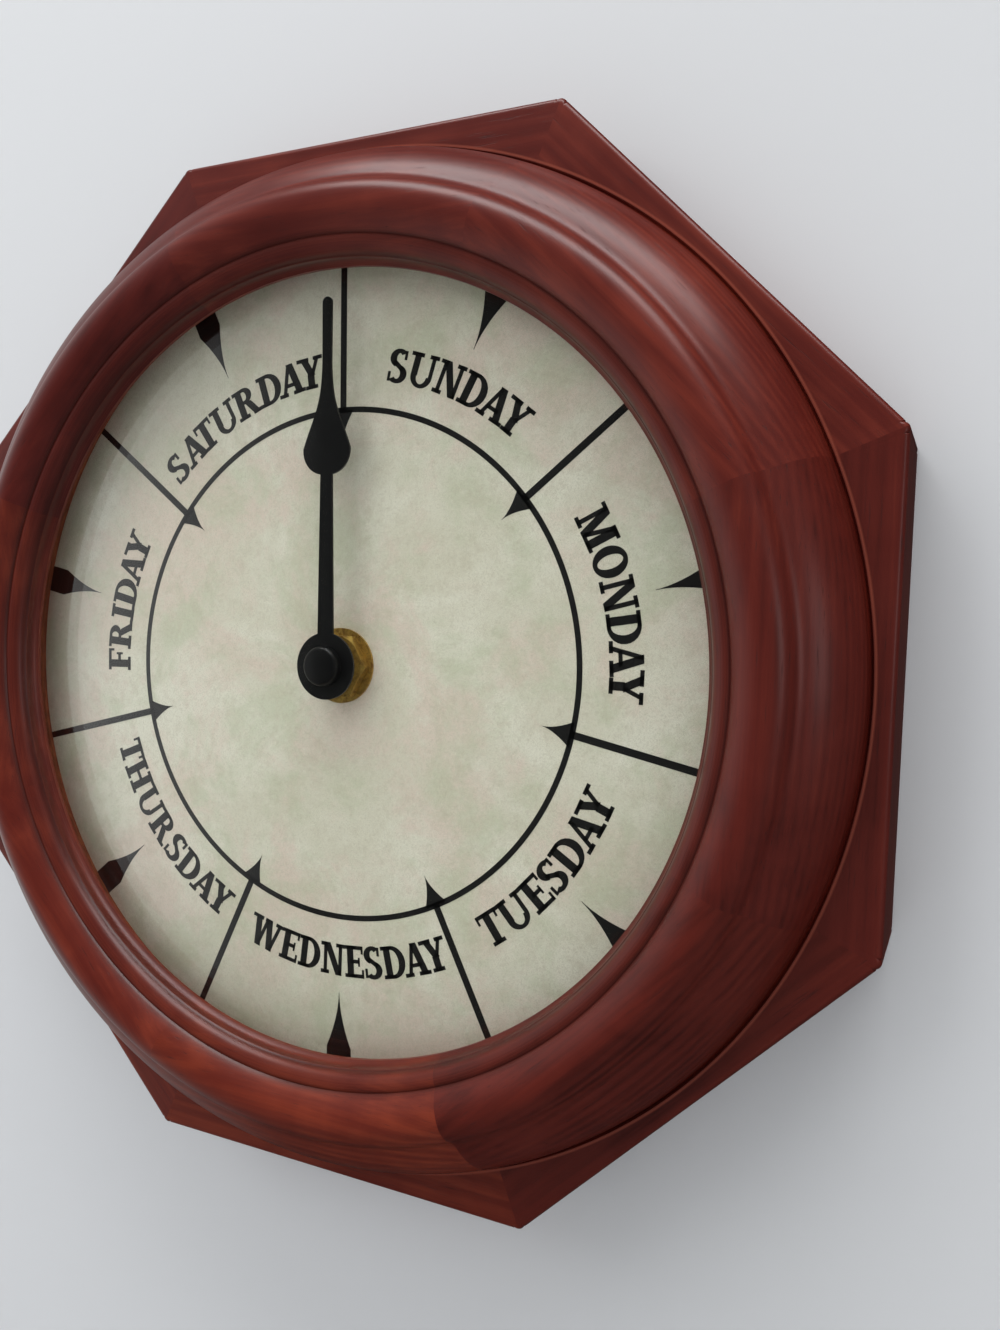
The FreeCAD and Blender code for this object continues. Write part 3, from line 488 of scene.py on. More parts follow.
def stained_wood(name, index):
    lightness, warmth = BOARD_TONES[name]
    finish = Finish(
        "stained_wood_" + name, Specular_IOR_Level=0.30, Coat_Weight=0.10, Coat_Roughness=0.20)
    point = place(finish)
    settings = {"rotation_type": "Y_AXIS"}
    level = finish.node("ShaderNodeVectorRotate", settings, {
        "Vector": point, "Center": (AXIS_X, 0, AXIS_Z), "Angle": math.radians(-STAVE_SWEEP * index)})
    board = moved(level, (0.31 * index, 0.07 * index, 0.045 + 0.011 * (index % 3)))
    drift = noise(stretched(board, 3.0, 22.0, 22.0), 1.0, 2.0)
    depth = finish.node("ShaderNodeSeparateXYZ", {}, [board], 1)
    across = finish.node("ShaderNodeSeparateXYZ", {}, [board], 2)
    log = (depth * 1.7 + across + drift * 0.011) / RING_SPACING
    bands = (log * math.tau).wave() * 0.5 + 0.5
    streaks = noise(stretched(board, 26.0, 800.0, 800.0), 1.0, 4.0, 0.65)
    fine = noise(stretched(board, 110.0, 3200.0, 3200.0), 1.0, 2.0, 0.6)
    blotches = noise(board, 30 * MM, 4.0, 0.6, 0.4)
    figure = bands * 0.09 + streaks * 0.42 + blotches * 0.55 + (lightness - 0.52)
    dark = mixed(finish, warmth, srgb(50, 12, 11), srgb(57, 14, 8))
    middle = mixed(finish, warmth, srgb(80, 22, 19), srgb(91, 27, 14))
    light = mixed(finish, warmth, srgb(108, 37, 30), srgb(132, 52, 26))
    lower = mixed(finish, steps(figure, 0.15, 0.5), dark, middle)
    stain = mixed(finish, steps(figure, 0.45, 0.9), lower, light)
    pores = steps(fine, 0.63, 0.75) * 0.45
    stain = mixed(finish, pores, stain, srgb(36, 9, 8))
    radius = radius_of(point)
    turned = finish.node(
        "ShaderNodeTexNoise", {"noise_dimensions": "1D"}, {"W": radius * 2600, "Detail": 1.0})
    backward = finish.node("ShaderNodeSeparateXYZ", {}, [point], 1)
    front = 1 - steps(backward, DIAL_Y + 0.8 * MM, DIAL_Y + 1.2 * MM)
    beads_end = BEAD[2][0] * MM
    outer = steps(radius, beads_end + 0.4 * MM, beads_end + 1.4 * MM)
    inner_beads = (1 - outer) * front
    marks = steps(turned, 0.5, 0.68) * (inner_beads * 0.3 + front * 0.05)
    stain = mixed(finish, marks, stain, srgb(138, 62, 44))
    # Painted shade: the inner beads and cove, which face in towards the dial, are darkened.
    stain = mixed(finish, inner_beads * 0.3, stain, srgb(48, 13, 10))
    # Painted shade: the grooves are darkened, as if shade lay in them.
    stain = mixed(finish, groove_shade(radius) * front * 0.6, stain, srgb(40, 12, 10))
    # Painted highlight: a lighter line on the edge outside the V groove, where light would catch it.
    stain = mixed(finish, circle_mask(radius, *PAINTED_EDGE_HIGHLIGHT) * front * 0.6, stain, srgb(150, 72, 52))
    finish.feed("Base Color", stain)
    finish.feed("Roughness", blotches * 0.12 + 0.30 + pores * 0.3)
    finish.bump(streaks * 0.6 - pores, 0.00005, 0.6)
    return finish.material


print("growth rings every", round(RING_SPACING / MM, 1), "mm, tones for", len(BOARD_TONES), "boards")

# %% The eight boards
boards = {}
for index, name in enumerate(BOARD_TONES):
    turns = board_turns()
    sections = [section_at(turn, front_points) for turn in turns]
    shift = math.radians(STAVE_SWEEP * index)
    mesh = swept("board_" + name, sections, [turn + shift for turn in turns], False)
    board = add_piece("board_" + name, mesh, "clock")
    mesh.materials.append(stained_wood(name, index))
    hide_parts("frame_stave_" + name)
    boards[name] = board
print("boards:", len(boards), "faces each:", len(boards["right"].data.polygons))

# %% [markdown]
# The top board has a recess behind for the keyhole hanger and a pocket for the wall screw's
# head. A boolean cut with two rounded blocks makes both. The recess follows the hanger plate's
# own box, and the pocket stands round the keyhole, where the model has its origin.

# %% The hanger's recess in the top board
def rounded_bar(name, low, high, corner):
    """Block with rounded corners seen from behind, as a router leaves them."""
    shape = bmesh.new()
    outline = []
    for sx, sz, first in ((1, 1, 0), (-1, 1, 90), (-1, -1, 180), (1, -1, 270)):
        cx = (high[0] if sx > 0 else low[0]) - sx * corner
        cz = (high[2] if sz > 0 else low[2]) - sz * corner
        for k in range(7):
            t = math.radians(first + 15 * k)
            outline.append((cx + corner * math.cos(t), cz + corner * math.sin(t)))
    joined(shape, [[shape.verts.new((x, y, z)) for x, z in outline] for y in (low[1], high[1])])
    return bpy.data.objects.new(name, finished(name, shape))


def cut_away(piece, tool):
    """Cuts a block out of a piece and deletes the block."""
    bpy.context.scene.collection.objects.link(tool)
    cut = piece.modifiers.new("cut", "BOOLEAN")
    cut.operation = "DIFFERENCE"
    cut.solver = "EXACT"
    cut.object = tool
    bpy.context.view_layer.update()
    seen = piece.evaluated_get(bpy.context.evaluated_depsgraph_get())
    mesh = bpy.data.meshes.new_from_object(seen)
    piece.modifiers.clear()
    piece.data = mesh
    bpy.data.objects.remove(tool)


plate_low, plate_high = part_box("keyhole_hanger")
PLATE_PLAY = 0.05
POCKET_HALF = 4.35 * MM
POCKET_TOP = 8.55 * MM
POCKET_DEPTH = 9.0 * MM
recess_low = plate_low - Vector((PLATE_PLAY, 0, PLATE_PLAY)) * MM
recess_high = plate_high + Vector((PLATE_PLAY, 1, PLATE_PLAY)) * MM
recess = rounded_bar("recess", recess_low, recess_high, 3 * MM)
pocket_low = Vector((-POCKET_HALF, BACK_Y - POCKET_DEPTH, -POCKET_HALF))
pocket_high = Vector((POCKET_HALF, BACK_Y + MM, POCKET_TOP))
pocket = rounded_bar("pocket", pocket_low, pocket_high, 2.5 * MM)
cut_away(boards["top"], recess)
cut_away(boards["top"], pocket)
print("top board after the cuts:", len(boards["top"].data.polygons), "faces")

# %% [markdown]
# ## The glass
# The glass is a shallow dome. It is clear enough to forget, yet it carries the picture: the
# room reflects in it as a pale veil. Light must pass through it to the dial, which a fully
# refracting glass does badly in a path tracer, so the shader mixes a transparent surface with
# a mirror. The share that is mirrored starts at four in a hundred, seen straight on, and
# rises steeply towards a glancing angle, which is Schlick's rule for glass.

# %% Glass shape
LENS_RADIUS = 86.5
LENS_RISE = 12.4
LENS_THICKNESS = 1.5
LENS_INSIDE = 85.3
NEAR_AXIS = 0.02
LENS_BEND = (LENS_RADIUS ** 2 + LENS_RISE ** 2) / (2 * LENS_RISE)
LENS_CENTRE = SEAT + LENS_RISE - LENS_BEND
FULL_TURN = [math.tau * k / 192 for k in range(192)]


def dome(radius, depth=0.0):
    return radius, LENS_CENTRE + math.sqrt((LENS_BEND - depth) ** 2 - radius ** 2)


def glass_section():
    """Front face from the middle out, the ground rim, and the back face in again."""
    shares = [k / 48 for k in range(49)]
    outer = [dome(NEAR_AXIS + (SPACER - NEAR_AXIS) * t) for t in shares]
    inner = [dome(NEAR_AXIS + (LENS_INSIDE - NEAR_AXIS) * t, LENS_THICKNESS) for t in shares]
    land = inner[-1][1]
    rim = [(SPACER, SEAT), (LENS_RADIUS, SEAT), (LENS_RADIUS, land)]
    return outer + rim + inner[::-1]


def clear_glass():
    finish = Finish("clear_glass", Roughness=0.02)
    glancing = finish.node("ShaderNodeLayerWeight", {}, {"Blend": 0.5}, 1)
    share = glancing ** 5 * 0.96 + 0.04
    clear = finish.node("ShaderNodeBsdfTransparent", {}, {"Color": (0.985, 0.995, 0.99, 1)})
    mirror = finish.node("ShaderNodeBsdfGlossy", {}, {"Color": (1, 1, 1, 1), "Roughness": 0.0})
    finish.show(finish.node("ShaderNodeMixShader", {}, [share, clear, mirror]))
    return finish.material


glass_mesh = swept("domed_glass", [glass_section()] * len(FULL_TURN), FULL_TURN, True)
glass = add_piece("domed_glass", glass_mesh, "clock")
glass_mesh.materials.append(clear_glass())
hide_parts("convex_lens")
print("glass top above the dial:", round(dome(0)[1], 1), "mm")

# %% [markdown]
# ## The dial
# The paper is a parchment print: a pale greenish grey with faint pink and olive clouds, and a
# fine grain. The black print lies on it. Printing could be a pattern in the paper's material,
# but letters need crisp edges at any distance, so each mark is its own thin layer of ink,
# a few hundredths of a millimetre above the paper.

# %% Parchment
def parchment():
    finish = Finish("parchment", Roughness=0.82)
    point = place(finish)
    clouds = noise(point, 34 * MM, 4.0, 0.6, 0.8)
    pink = noise(moved(point, (0.4, 0.1, 0.7)), 22 * MM, 5.0, 0.7, 0.5)
    olive = noise(moved(point, (0.9, 0.3, 0.2)), 20 * MM, 5.0, 0.68, 0.3)
    mottle = noise(point, 2.6 * MM, 5.0, 0.8)
    specks = noise(point, 0.7 * MM, 3.0, 0.75)
    grain = noise(point, 0.35 * MM, 2.0, 0.7)
    tone = mixed(finish, steps(clouds, 0.36, 0.66), srgb(213, 208, 188), srgb(227, 223, 206))
    tone = mixed(finish, steps(pink, 0.42, 0.62) * 0.8, tone, srgb(221, 202, 188))
    tone = mixed(finish, steps(olive, 0.46, 0.64) * 0.55, tone, srgb(190, 196, 166))
    tone = mixed(finish, steps(mottle, 0.46, 0.66) * 0.30, tone, srgb(188, 177, 156))
    tone = mixed(finish, steps(specks, 0.50, 0.68) * 0.30, tone, srgb(232, 230, 216))
    tone = mixed(finish, steps(grain, 0.46, 0.66) * 0.35, tone, srgb(176, 168, 146))
    finish.feed("Base Color", tone)
    finish.bump(specks * 0.5 + mottle * 0.5, 0.00002, 0.5)
    return finish.material


def dress(node, material):
    """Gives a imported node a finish, on every face."""
    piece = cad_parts[node]
    piece.data.materials.clear()
    piece.data.materials.append(material)
    for polygon in piece.data.polygons:
        polygon.material_index = 0
    return piece


paper = dress("dial_face", parchment())
print("the paper's finish:", paper.data.materials[0].name)

# %% [markdown]
# ## Ink
# A mark is a flat outline given a hair of thickness. Outlines are written in millimetres in
# the mark's own place, then turned to where the mark stands on the dial: across is clockwise
# and up is away from the centre.

# %% Flat marks from outlines
INK_LOW = 0.02
INK_HIGH = 0.05


def ink_solid(shape, outline):
    """Adds one closed plate of ink to a shape, from (x, z) millimetres about the axis."""
    rings = []
    for height in (INK_LOW, INK_HIGH):
        y = DIAL_Y - height * MM
        rings.append([shape.verts.new((AXIS_X + x * MM, y, AXIS_Z + z * MM)) for x, z in outline])
    joined(shape, rings)


def stood(outline, clock, radius=0.0, flip=False):
    """Turns an outline to a clock angle in degrees, its foot at a radius from the axis."""
    turn = math.radians(clock + PRINT_TURN)
    sign = -1 if flip else 1
    placed = []
    for across, up in outline:
        a = across * sign
        r = radius + up * sign
        placed.append((a * math.cos(turn) + r * math.sin(turn), r * math.cos(turn) - a * math.sin(turn)))
    return placed


def ink_piece(name, outlines):
    """One printed piece of several marks."""
    shape = bmesh.new()
    for outline in outlines:
        ink_solid(shape, outline)
    inked(name, finished(name, shape))


def inked(name, mesh):
    """Puts a printed mesh on the dial, in ink."""
    piece = add_piece(name, mesh, "clock", 20.0)
    mesh.materials.append(ink)


def printing_ink():
    finish = Finish("printing_ink", Roughness=0.6)
    point = place(finish)
    wear = noise(point, 0.5 * MM, 3.0, 0.7)
    faded = steps(wear, 0.5, 0.8) * 0.5
    finish.paint(faded, srgb(14, 13, 13), srgb(36, 34, 31))
    return finish.material


ink = printing_ink()
print("ink from", INK_LOW, "to", INK_HIGH, "mm above the paper")

# %% Ring, spokes, arrowheads and mid-day markers
DAYS = 7
DAY_SWEEP = 360.0 / DAYS
RING = RING_RADIUS / MM
RING_WIDTH = 1.15
SPOKE_WIDTH = 1.45
PRINT_EDGE = DIAL_EDGE / MM - 0.3
ARROW_TIP = 46.3
ARROW_HALF = 2.6
MARKER_TIP = 68.8
MARKER_FULL = 80.5
MARKER_HALF = 2.95
SPIKE_HALF = 0.04


def arrowhead():
    """Points towards the centre, with hollow sides."""
    side = []
    for k in range(9):
        t = k / 8
        side.append((ARROW_HALF * t ** 1.7, ARROW_TIP + (RING - ARROW_TIP) * t))
    return side + [(-x, r) for x, r in reversed(side[1:])]


def marker():
    """A spike from the middle of the day that swells into a bar at the rim."""
    side = [(SPIKE_HALF, MARKER_TIP)]
    for k in range(1, 13):
        t = k / 12
        half = SPIKE_HALF + MARKER_HALF * t ** 1.8
        side.append((half, MARKER_TIP + (MARKER_FULL - MARKER_TIP) * t))
    side.append((MARKER_HALF + SPIKE_HALF, PRINT_EDGE))
    return side + [(-x, r) for x, r in reversed(side)]


def spoke():
    half = SPOKE_WIDTH / 2
    return [(-half, RING), (half, RING), (half, PRINT_EDGE), (-half, PRINT_EDGE)]


def ring_mesh():
    """The printed ring as one closed band."""
    inside, outside = RING - RING_WIDTH / 2, RING + RING_WIDTH / 2
    section = [(inside, INK_LOW), (outside, INK_LOW), (outside, INK_HIGH), (inside, INK_HIGH)]
    return swept("dial_ring", [section] * len(FULL_TURN), FULL_TURN, True)


inked("dial_ring", ring_mesh())
angles = [DAY_SWEEP * k for k in range(DAYS)]
ink_piece("dial_spokes", [stood(spoke(), a) for a in angles])
ink_piece("dial_arrowheads", [stood(arrowhead(), a) for a in angles])
ink_piece("dial_markers", [stood(marker(), a + DAY_SWEEP / 2) for a in angles])
print("days marked:", DAYS, "every", round(DAY_SWEEP, 2), "degrees")

# %% [markdown]
# ## The names of the days
# The dial is useless without its seven plain words, which are as generic as the numbers on
# any clock. They are drawn with a small alphabet of our own: heavy upright strokes, thin
# joining strokes and square feet. A letter one unit high is a list of strokes, and a stroke
# is an outline. Only the fifteen letters that the week needs are made.

# %% Strokes of the alphabet
THICK = 0.25
THIN = 0.135
FOOT = 0.12
FOOT_OUT = 0.10


def bar(x0, x1, z0, z1):
    return [(x0, z0), (x1, z0), (x1, z1), (x0, z1)]


def slant(x_low, x_high, width, z0=0.0, z1=1.0):
    """A slanting stroke, cut level at both ends; x is its left edge."""
    return [(x_low, z0), (x_low + width, z0), (x_high + width, z1), (x_high, z1)]


def foot(x_middle, z, width, reach=FOOT_OUT):
    """A square serif across the end of a stroke, at the bottom or the top."""
    low, high = (0.0, FOOT) if z == 0 else (1 - FOOT, 1.0)
    half = width / 2 + reach
    return bar(x_middle - half, x_middle + half, low, high)


def bend(centre, outer, inner, first, last, count=12):
    """A curved stroke between two ellipses, in degrees anticlockwise from the right."""
    turns = [math.radians(first + (last - first) * k / count) for k in range(count + 1)]
    x, z = centre
    out = [(x + outer[0] * math.cos(t), z + outer[1] * math.sin(t)) for t in turns]
    back = [(x + inner[0] * math.cos(t), z + inner[1] * math.sin(t)) for t in reversed(turns)]
    return out + back


def stem(x, z0=0.0, z1=1.0, feet=(0, 1)):
    """A heavy upright with its feet; x is its middle."""
    parts = [bar(x - THICK / 2, x + THICK / 2, z0, z1)]
    return parts + [foot(x, end, THICK) for end in feet]


print("heavy strokes", THICK, "and thin strokes", THIN, "of a letter's height")

# %% The fifteen letters of the week
LETTERS = {
    "A": [slant(0.07, 0.375, THIN), slant(0.615, 0.345, THICK), foot(0.12, 0, THIN),
          foot(0.72, 0, THICK), bar(0.22, 0.66, 0.27, 0.27 + FOOT)],
    "D": stem(0.20) + [
        bend((0.36, 0.5), (0.50, 0.5), (0.50 - THICK, 0.5 - FOOT), -90, 90),
        bar(0.20, 0.36, 0, FOOT), bar(0.20, 0.36, 1 - FOOT, 1)],
    "F": stem(0.20) + [
        bar(0.2, 0.70, 1 - FOOT, 1), bar(0.2, 0.56, 0.45, 0.45 + FOOT),
        bar(0.62, 0.70, 0.75, 1), bar(0.50, 0.57, 0.36, 0.64)],
    "H": stem(0.20) + stem(0.74) + [bar(0.2, 0.74, 0.45, 0.45 + FOOT)],
    "I": stem(0.20),
    "M": stem(0.94, feet=(0,)) + [
        bar(0.17, 0.17 + THIN, 0, 1), foot(0.225, 0, THIN), foot(0.17, 1, THIN, 0.07),
        slant(0.50, 0.17, THICK), slant(0.54, 0.80, THIN), foot(0.96, 1, THICK, 0.07)],
    "N": [bar(0.17, 0.17 + THIN, 0, 1), foot(0.225, 0, THIN), foot(0.19, 1, THIN, 0.07),
          slant(0.66, 0.17, THICK), bar(0.76, 0.76 + THIN, 0, 1), foot(0.82, 1, THIN)],
    "O": [bend((0.50, 0.5), (0.44, 0.52), (0.44 - THICK, 0.52 - THIN), first, first + 180, 20)
          for first in (0, 180)],
    "R": stem(0.20) + [
        bend((0.40, 0.735), (0.32, 0.265), (0.32 - THICK * 0.9, 0.265 - FOOT), -90, 90),
        bar(0.2, 0.40, 1 - FOOT, 1), bar(0.2, 0.42, 0.47, 0.47 + FOOT),
        slant(0.62, 0.36, THICK, 0.0, 0.5), foot(0.76, 0, THICK, 0.05)],
    "S": [bend((0.39, 0.735), (0.33, 0.28), (0.33 - THICK * 0.95, 0.28 - THIN), 40, 250, 16),
          bend((0.39, 0.265), (0.35, 0.28), (0.35 - THICK * 0.95, 0.28 - THIN), -140, 70, 16),
          [(0.16, 0.58), (0.55, 0.33), (0.64, 0.44), (0.26, 0.69)],
          bar(0.57, 0.665, 0.70, 0.97), bar(0.07, 0.165, 0.03, 0.32)],
    "T": stem(0.42, feet=(0,)) + [
        bar(0.06, 0.78, 1 - FOOT, 1), bar(0.06, 0.135, 0.72, 1), bar(0.705, 0.78, 0.72, 1)],
    "U": [bar(0.10, 0.10 + THICK * 0.9, 0.32, 1), bar(0.86 - THIN, 0.86, 0.32, 1),
          bend((0.48, 0.33), (0.38, 0.35), (0.38 - THICK * 0.8, 0.35 - FOOT), 180, 360, 16),
          foot(0.195, 1, THICK), foot(0.80, 1, THIN)],
    "W": [slant(0.30, 0.10, THICK), slant(0.36, 0.56, THIN), slant(0.80, 0.56, THICK),
          slant(0.88, 1.10, THIN), foot(0.20, 1, THICK), foot(0.66, 1, THICK, 0.02),
          foot(1.15, 1, THIN)],
    "Y": stem(0.44, 0.0, 0.46, feet=(0,)) + [
        slant(0.36, 0.08, THICK, 0.42, 1.0), slant(0.42, 0.68, THIN, 0.42, 1.0),
        foot(0.18, 1, THICK), foot(0.74, 1, THIN)],
}
LETTERS["E"] = LETTERS["F"] + [bar(0.2, 0.72, 0, FOOT), bar(0.64, 0.72, 0, 0.27)]
print("letters:", " ".join(sorted(LETTERS)))

# %% [markdown]
# A word is set along a circle, one upright letter at a time with even gaps, and is stretched
# to the length that it has on the dial. A letter that leans over its neighbour is tucked in.
# Words in the upper half stand with their heads outwards, and those in the lower half with
# their heads to the centre, so that none reads upside down. The table gives each word's
# middle and length in degrees, the radius of its feet, and whether its heads point inwards.

# %% Setting the seven words
CAP_HEIGHT = 6.7
GAP = 0.03
TUCKED = {"AY": 0.24, "AT": 0.20, "DA": 0.13}
WORDS = (
    ("SUNDAY", 25.9, 31.5, 58.5, False),
    ("MONDAY", 77.9, 34.3, 58.5, False),
    ("TUESDAY", 129.0, 36.4, 64.9, True),
    ("WEDNESDAY", 178.8, 46.1, 65.2, True),
    ("THURSDAY", 230.0, 44.0, 64.8, True),
    ("FRIDAY", 282.8, 30.4, 58.0, False),
    ("SATURDAY", 333.9, 42.8, 58.2, False),
)


def set_word(word, middle, sweep, foot_radius, flip):
    """Outlines of one word, its middle at a clock angle and its length in degrees."""
    drawn = [LETTERS[letter] for letter in word]
    ends = []
    starts = []
    along = 0.0
    for k, strokes in enumerate(drawn):
        reach = [x for stroke in strokes for x, z in stroke]
        ends.append((min(reach), max(reach)))
        starts.append(along)
        along += max(reach) - min(reach) + GAP - TUCKED.get(word[k:k + 2], 0)
    step = sweep / (along - GAP)
    head_radius = foot_radius + (-CAP_HEIGHT if flip else CAP_HEIGHT)
    unit = math.radians(step) * (foot_radius + head_radius) / 2
    outlines = []
    for strokes, (low, high), start in zip(drawn, ends, starts):
        centre = (start + (high - low) / 2) * step - sweep / 2
        clock = middle - centre if flip else middle + centre
        for stroke in strokes:
            scaled = [((x - (low + high) / 2) * unit, z * CAP_HEIGHT) for x, z in stroke]
            outlines.append(stood(scaled, clock, foot_radius, flip))
    return outlines


for word, middle, sweep, foot_radius, flip in WORDS:
    outlines = set_word(word, middle, sweep, foot_radius, flip)
    ink_piece("day_name_" + word.lower(), outlines)
    print(word.title(), "strokes:", len(outlines))

# %% [markdown]
# ## Metal and plastic finishes
# The brass of the nut and washer is dull and blotched where fingers have been. The hand is
# stamped and enamelled black, and the plated steel behind is brushed. A plain grey metal
# would look like a toy, so noise varies how rough and how dark each one is.

# %% Brass, enamel and plated steel
def brass():
    finish = Finish("worn_brass")
    point = place(finish)
    stain = noise(point, 1.4 * MM, 4.0, 0.65, 0.4)
    scratch = noise(stretched(point, 3000.0, 3000.0, 300.0), 1.0, 2.0)
    tarnish = steps(stain, 0.36, 0.72)
    finish.paint(tarnish, srgb(214, 176, 88), srgb(132, 94, 38))
    finish.feed("Metallic", 0.82 - tarnish * 0.3)
    finish.feed("Roughness", stain * 0.25 + 0.22)
    finish.bump(scratch, 0.00001, 0.4)
    return finish.material


def enamel():
    finish = Finish("black_enamel", Specular_IOR_Level=0.3)
    point = place(finish)
    peel = noise(point, 0.8 * MM, 2.0)
    dust = noise(point, 0.25 * MM, 3.0, 0.7)
    dusty = steps(dust, 0.62, 0.78) * 0.4
    finish.paint(dusty, srgb(8, 8, 9), srgb(30, 30, 32))
    finish.feed("Roughness", peel * 0.15 + 0.30)
    finish.bump(peel, 0.00001, 0.4)
    return finish.material


def plated_steel(name, colour, along):
    finish = Finish(name, Metallic=0.6)
    point = place(finish)
    brushed = noise(stretched(point, *along), 1.0, 3.0, 0.6)
    cloud = noise(point, 6 * MM, 3.0)
    darker = (*[c * 0.72 for c in colour[:3]], 1)
    finish.paint(cloud * 0.5 + brushed * 0.3, colour, darker)
    finish.feed("Roughness", brushed * 0.22 + 0.22)
    finish.bump(brushed, 0.00001, 0.4)
    return finish.material


worn_brass = brass()
black_enamel = enamel()
zinc = plated_steel("bright_zinc", srgb(190, 190, 186), (240.0, 900.0, 2400.0))
turned_steel = plated_steel("turned_steel", srgb(168, 168, 168), (900.0, 2600.0, 900.0))
nickel = plated_steel("nickel_strip", srgb(200, 197, 188), (300.0, 2000.0, 300.0))
print("metals:", [m.name for m in (worn_brass, black_enamel, zinc, turned_steel, nickel)])

# %% [markdown]
# The movement's case is moulded plastic with a fine spark-eroded texture, and the wheels are
# the same plastic without its black. The dial's board is pressed fibre, and so is the brown
# strip between the glass and the dial. One function makes every plastic, since only the
# colour, the gloss and the size of the grain differ.

# %% Plastic and pressed fibre
def moulded_plastic(name, colour, rough, grain=0.25):
    finish = Finish(name)
    point = place(finish)
    spark = noise(point, grain * MM, 3.0, 0.7)
    cloud = noise(point, 14 * MM, 3.0)
    lighter = (*[min(1.0, c * 1.25 + 0.004) for c in colour[:3]], 1)
    finish.paint(cloud * 0.6 + spark * 0.3, colour, lighter)
    finish.feed("Roughness", spark * 0.2 + rough)
    finish.bump(spark, 0.00003, 0.5)
    return finish.material


def hardboard():
    """Pressed fibre board: dark brown, with a fine tangle of fibres."""
    finish = Finish("hardboard", Roughness=0.6)
    point = place(finish)
    fibres = noise(stretched(point, 700.0, 1.0, 260.0), 1.0, 4.0, 0.75, 1.2)
    cross = noise(stretched(point, 240.0, 1.0, 760.0), 1.0, 4.0, 0.75, 1.2)
    cloud = noise(point, 22 * MM, 3.0)
    tangle = fibres * 0.5 + cross * 0.5
    tone = mixed(finish, steps(tangle, 0.36, 0.64), srgb(96, 66, 42), srgb(138, 100, 66))
    shaded = steps(cloud, 0.4, 0.7) * 0.3
    finish.paint(shaded, tone, srgb(84, 58, 38))
    finish.bump(tangle, 0.00004, 0.5)
    return finish.material


def fibre_strip():
    finish = Finish("fibre_strip", Roughness=0.7)
    point = place(finish)
    grain = noise(stretched(point, 300.0, 1800.0, 300.0), 1.0, 3.0, 0.6)
    light = steps(grain, 0.35, 0.7)
    finish.paint(light, srgb(120, 58, 34), srgb(158, 84, 50))
    finish.bump(grain, 0.00003, 0.5)
    return finish.material


black_plastic = moulded_plastic("black_plastic", srgb(30, 30, 32), 0.42)
natural_plastic = moulded_plastic("natural_plastic", srgb(222, 218, 206), 0.35)
rubber = moulded_plastic("black_rubber", srgb(24, 24, 24), 0.7, 0.5)
resin = moulded_plastic("chip_resin", srgb(16, 16, 17), 0.25, 0.8)
laminate = moulded_plastic("board_laminate", srgb(140, 96, 44), 0.3, 0.4)
magnet = moulded_plastic("bonded_magnet", srgb(74, 74, 78), 0.35)
print("plastics:", [m.name for m in (black_plastic, natural_plastic, rubber, resin, laminate, magnet)])

# %% [markdown]
# The coil is wound from hair-thin copper wire. No one sees the single turns, so a wave along
# the bobbin stands for them. The cell's sleeve is plain, with a copper-coloured band at the
# end that has the nub.

# %% Coil and cell
def copper_coil():
    """Fine enamelled wire, wound side by side across the bobbin."""
    wire = 0.12 * MM
    finish = Finish("copper_coil", Metallic=1.0, Roughness=0.3)
    along = finish.node("ShaderNodeSeparateXYZ", {}, [place(finish)])
    wires = (along * (math.tau / wire)).wave() * 0.5 + 0.5
    finish.paint(wires, srgb(112, 48, 24), srgb(204, 110, 62))
    finish.bump(wires, 0.00006, 0.8)
    return finish.material


def cell_sleeve():
    """Plain printed sleeve of a dry cell: dark body, copper-coloured band, bare steel ends."""
    finish = Finish("cell_sleeve", Roughness=0.3, Coat_Weight=0.4, Coat_Roughness=0.12)
    point = place(finish)
    along = finish.node("ShaderNodeSeparateXYZ", {}, [point])
    cell_low, cell_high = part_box("battery")
    band = steps(along, cell_high.x - 16.2 * MM, cell_high.x - 16.0 * MM)
    steel = steps(along, cell_high.x - 2.3 * MM, cell_high.x - 2.2 * MM)
    tail = 1 - steps(along, cell_low.x + 0.6 * MM, cell_low.x + 0.7 * MM)
    flake = noise(point, 0.6 * MM, 2.0)
    body = mixed(finish, flake * 0.4, srgb(28, 32, 42), srgb(44, 50, 62))
    tone = mixed(finish, band, body, srgb(178, 118, 62))
    tone = mixed(finish, (steel + tail).kept(), tone, srgb(190, 190, 186))
    finish.feed("Base Color", tone)
    finish.feed("Metallic", (band * 0.6 + steel + tail).kept())
    finish.bump(flake, 0.00001, 0.3)
    return finish.material


winding = copper_coil()
sleeve = cell_sleeve()
print("coil and cell:", winding.name, sleeve.name)

# %% [markdown]
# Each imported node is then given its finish. The table lists nodes by finish, so that it reads
# like a parts list.

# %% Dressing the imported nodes
DRESSING = (
    (worn_brass, ("brass_washer", "hex_nut", "threaded_bushing")),
    (black_enamel, ("day_hand",)),
    (nickel, ("hand_bushing", "clutch_spring", "battery_contact_plus", "battery_contact_minus")),
    (zinc, ("keyhole_hanger", "hanger_screws", "dial_retaining_tabs", "dial_tab_screws",
            "quartz_crystal")),
    (turned_steel, ("day_arbor", "idler_arbor", "idler_pinion", "set_arbor", "second_arbor",
                    "second_pinion", "stator")),
    (natural_plastic, ("day_wheel", "idler_wheel", "set_pinion", "drive_wheel", "second_wheel",
                       "rotor_pinion", "coil_bobbin", "train_plate")),
    (black_plastic, ("movement_case", "movement_rear_cover", "set_knob")),
    (rubber, ("rubber_washer",)),
    (resin, ("chip_cap",)),
    (laminate, ("circuit_board",)),
    (hardboard(), ("dial_board",)),
    (fibre_strip(), ("lens_spacer_ring",)),
    (magnet, ("rotor_magnet",)),
    (winding, ("coil_winding",)),
    (sleeve, ("battery",)),
)
for material, nodes in DRESSING:
    for node in nodes:
        smoothed(dress(node, material).data, 28.0)
print("finishes on packed nodes:", len(DRESSING))

